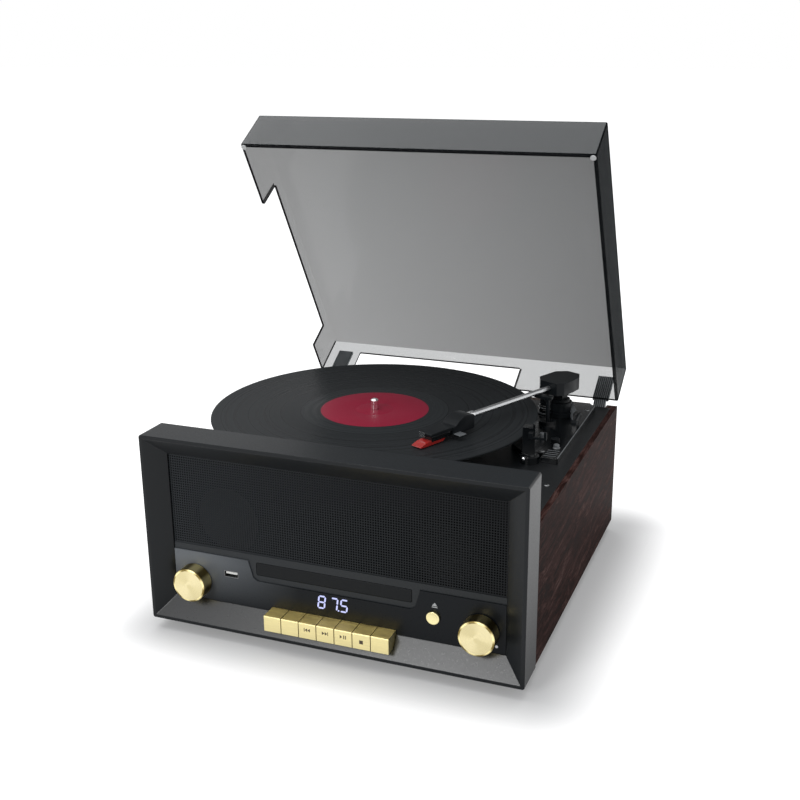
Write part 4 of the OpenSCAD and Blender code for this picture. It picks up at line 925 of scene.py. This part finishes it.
def on_arm(points):
    """From the arm's own frame (pivot at 0, head towards -Y) to the cabinet's:
    turned about Z by the arm's angle, then moved to the pivot."""
    p = np.asarray(points, float)
    c, s = math.cos(ARM_TURN), math.sin(ARM_TURN)
    return np.stack([c * p[:, 0] - s * p[:, 1], s * p[:, 0] + c * p[:, 1], p[:, 2]], 1) + PIVOT


def arm_piece(name, points, faces, finish, sharp_deg=35.0):
    """A piece drawn in the arm's own frame."""
    piece(name, on_arm(points), faces, finish, "arm", sharp_deg=sharp_deg)


collar = [(2.5, -7), (3.3, -6.8), (3.5, -6.3), (3.5, -0.6), (3.2, 0.2), (2.5, 0.4)]
arm_piece("tube_collar", *turned(collar, (0, -124.5, 167.0), "y", 48), "tin")
front_plate = np.array([[x, y, z]
                        for x, z in ((-7.2, 160.2), (-0.8, 160.2), (-0.8, 164.4), (-7.2, 164.4))
                        for y in (-184.2, -183.7)])
arm_piece("head_front_plate", front_plate, hull_faces(front_plate), "tin", sharp_deg=20)

# ----------------------------------------------------- screws and the works

# Faces of a box whose points are four below, then the same four above
BOX = [[0, 3, 2, 1], [4, 5, 6, 7], [0, 1, 5, 4], [1, 2, 6, 5], [2, 3, 7, 6], [3, 0, 4, 7]]
CROSS_TURN = 0.4


def screw_head(x, y, z, r, h):
    """Screw head of radius r and height h: a revolved dome, and a cross of two
    bars turned by CROSS_TURN, which runs from 0.6 h to just above the dome."""
    profile = [(0, h), (r * 0.5, h * 0.95), (r * 0.85, h * 0.7), (r, h * 0.2), (r, 0)]
    dome = turned(profile, (x, y, z), "z", 32)
    arms = []
    for a in (CROSS_TURN, CROSS_TURN + math.pi / 2):
        d, n = np.array([math.cos(a), math.sin(a)]), np.array([-math.sin(a), math.cos(a)])
        c = [d * s * r * 0.62 + n * t * r * 0.1 for s, t in ((-1, -1), (1, -1), (1, 1), (-1, 1))]
        p = np.array([[x + v[0], y + v[1], z + h * k] for k in (0.6, 1.03) for v in c])
        arms.append((p, BOX))
    return dome, join(arms)


def screw(name, x, y, z, r, h):
    """Screw head with its dark cross, on the cabinet."""
    dome, cross = screw_head(x, y, z, r, h)
    piece(name, *dome, "screw_dark", "cabinet")
    piece(name + "_cross", *cross, "works_plastic", "cabinet", sharp_deg=20)


screw("deck_screw", 148.8, 113.7, DECK_TOP, 2.2, 0.7)
for n, (x, y) in enumerate(((103.5, 296), (103, 250), (141, 300), (128.5, 176.5))):
    screw(f"works_screw_{n + 1}", x, y, WORKS_TOP, 2.3, 0.9)

# Beside the bearing: lift pillar, its two pale rings and the pale edge strips, which are painted
# highlights, and the lever housing
pillar = [(0, 158), (6.4, 158), (7.6, 157.3), (8.0, 156), (8.0, 145.6), (8.5, 145), (8.5, 144.2),
          (8.0, 143.6), (8.0, 142), (8.8, 141), (8.8, WORKS_TOP), (0, WORKS_TOP)]
upper = [(8.2, 142.9), (9.3, 142.9), (9.6, 143.2), (9.3, 143.6), (8.2, 143.6), (8.2, 142.9)]
lower = [(8.6, 137.4), (10.2, 137.4), (10.6, 137.9), (10.2, 138.5), (8.6, 138.5), (8.6, 137.4)]
piece("lift_pillar", *turned(pillar, PILLAR, "z", 64), "works_plastic", "cabinet")
piece("pillar_highlight_rings", *join([turned(ring, PILLAR, "z", 64) for ring in (upper, lower)]),
      "works_edge", "cabinet")
foot = [(121, 297, WORKS_TOP), (128, 299, WORKS_TOP), (139.8, 270, WORKS_TOP),
        (133.5, 268, WORKS_TOP)]
roof = [(122.5, 295, 147), (126, 296, 148), (138.4, 271, 143), (134.8, 269.8, 142.5)]
housing = np.array(foot + roof, float)
piece("lever_housing", housing, hull_faces(housing), "works_edge", "cabinet", sharp_deg=15)
lines = [bar((145.0, 163.5, WORKS_TOP), (145.8, 315.0, WORKS_TOP + 0.35), 0.1)]
lines += [bar((133.5, 163.7 + 4.5 * i, 138.1), (143.6, 164.3 + 4.5 * i, 138.5), 0.1)
          for i in range(4)]
piece("works_highlight_lines", *join(lines), "works_edge", "cabinet", sharp_deg=20)
for name, x, y, r, h in (("trim_post", 119.5, 210.0, 2.2, 5.0),
                         ("trim_knob", 138.5, 188.0, 2.6, 4.0)):
    profile = [(0, h), (r * 0.6, h), (r * 0.9, h - 0.4), (r, h - 1.0), (r, 1.2), (r * 1.25, 0.6),
               (r * 1.25, 0), (0, 0)]
    piece(name, *turned(profile, (x, y, WORKS_TOP), "z", 32), "works_edge", "cabinet")
# Chrome stud on the front of the arm rest's base, put there for its glint: a painted highlight on
# the base's dome
stud = [(0, -1.1), (1.0, -0.9), (1.7, -0.35), (1.9, 0.3), (1.9, 3.0), (0, 3.0)]
piece("rest_glint_stud", *turned(stud, (118.0, 153.2, 136.6), "y", 32), "spindle_chrome", "cabinet")

# ------------------------------------------------------------- dust cover


def closed_place(points):
    """Where a point of the open cover lies when it is shut: turned back about
    the hinge line."""
    p = np.atleast_2d(points) - HINGE
    c, s = math.cos(PHI), math.sin(PHI)
    return np.stack([p[:, 0], c * p[:, 1] - s * p[:, 2], s * p[:, 1] + c * p[:, 2]], 1) + HINGE


COVER_MIDDLE = np.array([0.0, 183.4, 155.5])
# Just inside the cover's left wall, its back wall and the sides of its notches
LEFT_IN, BACK_IN, SIDE_IN = -159.0, 329.0, 158.0


def cover_face(centre, normal):
    """Which finish a face of the cover takes: 1, a dark one that paints the
    shade at the wall's edges, on the narrow faces along the rim and round the
    notches, 2 inside, 3, a darker copy that paints shade, on the outer right
    wall, 4 on the outer back wall, and 0 on the other outer faces."""
    shut = closed_place(centre)[0]
    way = closed_place(HINGE + normal)[0] - HINGE
    down = way[2] < -0.9 and (shut[2] < RIM_Z + 0.5 or abs(shut[2] - NOTCH_Z) < 1)
    ends = abs(way[1]) > 0.9 and shut[0] < LEFT_IN and 95 < shut[1] < 300
    sides = abs(way[0]) > 0.9 and shut[1] > BACK_IN and abs(shut[0]) < SIDE_IN
    if down or ends or sides:
        return 1
    if np.dot(shut - COVER_MIDDLE, way) < 0:
        return 2
    if way[0] > 0.9:
        return 3
    return 4 if way[1] > 0.9 else 0


def tone_edge(middle):
    """True for the cover's left and rear top edges, which show as a change of
    tone and not as a dark line."""
    shut = closed_place(middle)[0]
    return shut[2] > COVER_TOP - 2 and (shut[0] < LEFT_IN - 2 or shut[1] > BACK_IN + 2)


# The bevelled edges take the dark edge finish: painted shade along the cover's edges
softened("dust_cover", 1.2,
         ["smoke_outer", "smoke_edge", "smoke_inner", "smoke_side", "smoke_back"],
         pick=cover_face, edge_finish=1, inner=2, bare=tone_edge)


def pad_face(centre, normal):
    """1 for the pads at the cover's front corners, 0 for the hinge arms."""
    return int(closed_place(centre)[0][1] < 100)


softened("cover_fittings", 0.3, ["hinge_ribbed", "pale_pad"], pick=pad_face)

# ------------------------------------------------------------------ rear

ring = [(4.35, BACK_Y), (5.6, BACK_Y), (5.9, 338.4), (5.9, 339.4), (5.5, 339.8), (4.35, 339.8),
        (4.35, BACK_Y)]
for side, x, colour in (("left", -38.0, "socket_white"), ("right", -22.0, "socket_red")):
    piece(f"line_out_ring_{side}", *turned(ring, (x, 0, LINE_OUT_Z), "y", 48), colour, "cabinet")

# ------------------------------------------------------------ room and light


# Middle of the footprint (cabinet millimetres) and half its sizes (metres), round which the floor's
# painted shadow lies
FOOT_MIDDLE, FOOT_HALF = (5, 176, 0), (0.163, 0.169, 0)
# Floor's glow at the footprint and away from it, and the width of the change: the low glow at the
# footprint paints a shadow round the object
PAINTED_SHADOW_GLOW, GLOW_FAR, GLOW_REACH = 0.17, 0.80, 0.08
FLOOR_HALF = 14.0


def footprint_distance(tree):
    """Distance on the floor from the object's rectangle, in metres: the length
    of what is left of |x| and |y| beyond half its width and half its depth."""
    off = vector_maths(tree, "ABSOLUTE", place_of(tree, at=FOOT_MIDDLE))
    beyond = vector_maths(tree, "SUBTRACT", off, FOOT_HALF)
    return vector_maths(tree, "LENGTH", vector_maths(tree, "MAXIMUM", beyond, (0, 0, 0)))


def seen_rays(tree):
    """1 for rays of the camera, gloss and clear plastic, 0 for scattered light."""
    ray = tree.nodes.new("ShaderNodeLightPath")
    shiny = maths(tree, "MAXIMUM", ray.outputs["Is Camera Ray"], ray.outputs["Is Glossy Ray"])
    return maths(tree, "MAXIMUM", shiny, ray.outputs["Is Transmission Ray"])


def lay_floor():
    """A wide pale floor, flat at the height of the feet. What the camera, gloss
    and clear plastic see of it is lifted to white away from the object, and less
    near it, which paints a shadow round the footprint."""
    f = FLOOR_HALF
    mesh = bpy.data.meshes.new("floor")
    mesh.from_pydata([(-f, -f, 0), (f, -f, 0), (f, f, 0), (-f, f, 0)], [], [(0, 1, 2, 3)])
    floor = bpy.data.objects.new("floor", mesh)
    bpy.context.scene.collection.objects.link(floor)
    mat, tree, surface = new_finish("floor_paint", (0.55, 0.55, 0.553), 0.9,
                                    Specular_IOR_Level=0.0)
    glow = span(tree, footprint_distance(tree), PAINTED_SHADOW_GLOW, GLOW_FAR, 0.0, GLOW_REACH,
                "SMOOTHSTEP")
    surface.inputs["Emission Color"].default_value = (1, 1, 1, 1)
    tree.links.new(maths(tree, "MULTIPLY", seen_rays(tree), glow),
                   surface.inputs["Emission Strength"])
    mesh.materials.append(mat)


def light_room():
    """World: white where it is seen, a dimmer, slightly blue light elsewhere."""
    world = bpy.data.worlds.new("room")
    bpy.context.scene.world = world
    world.use_nodes = True
    tree = world.node_tree
    tree.nodes.clear()
    mix = tree.nodes.new("ShaderNodeMixShader")
    tree.links.new(seen_rays(tree), mix.inputs[0])
    for socket, colour, strength in ((1, (0.97, 0.985, 1, 1), 0.55), (2, (1, 1, 1, 1), 1.0)):
        light = tree.nodes.new("ShaderNodeBackground")
        light.inputs["Color"].default_value = colour
        light.inputs["Strength"].default_value = strength
        tree.links.new(light.outputs[0], mix.inputs[socket])
    out = tree.nodes.new("ShaderNodeOutputWorld")
    tree.links.new(mix.outputs[0], out.inputs[0])


def soft_lamp(name, at, towards, size, watts):
    """Square soft light at a point, facing another point (row frame, metres)."""
    data = bpy.data.lights.new(name, "AREA")
    data.shape, data.size, data.energy = "SQUARE", size, watts
    lamp = bpy.data.objects.new(name, data)
    lamp.location = at
    lamp.rotation_mode = "QUATERNION"
    lamp.rotation_quaternion = (Vector(at) - Vector(towards)).to_track_quat("Z", "Y")
    bpy.context.scene.collection.objects.link(lamp)


lay_floor()
light_room()
soft_lamp("front_light", (-0.56, -2.18, 1.12), (0, 0, 0.1), 0.7, 18)
soft_lamp("top_light", (-0.45, 0.25, 2.3), (0, 0, 0.1), 2.4, 34)

bpy.context.scene.view_settings.view_transform = "Standard"
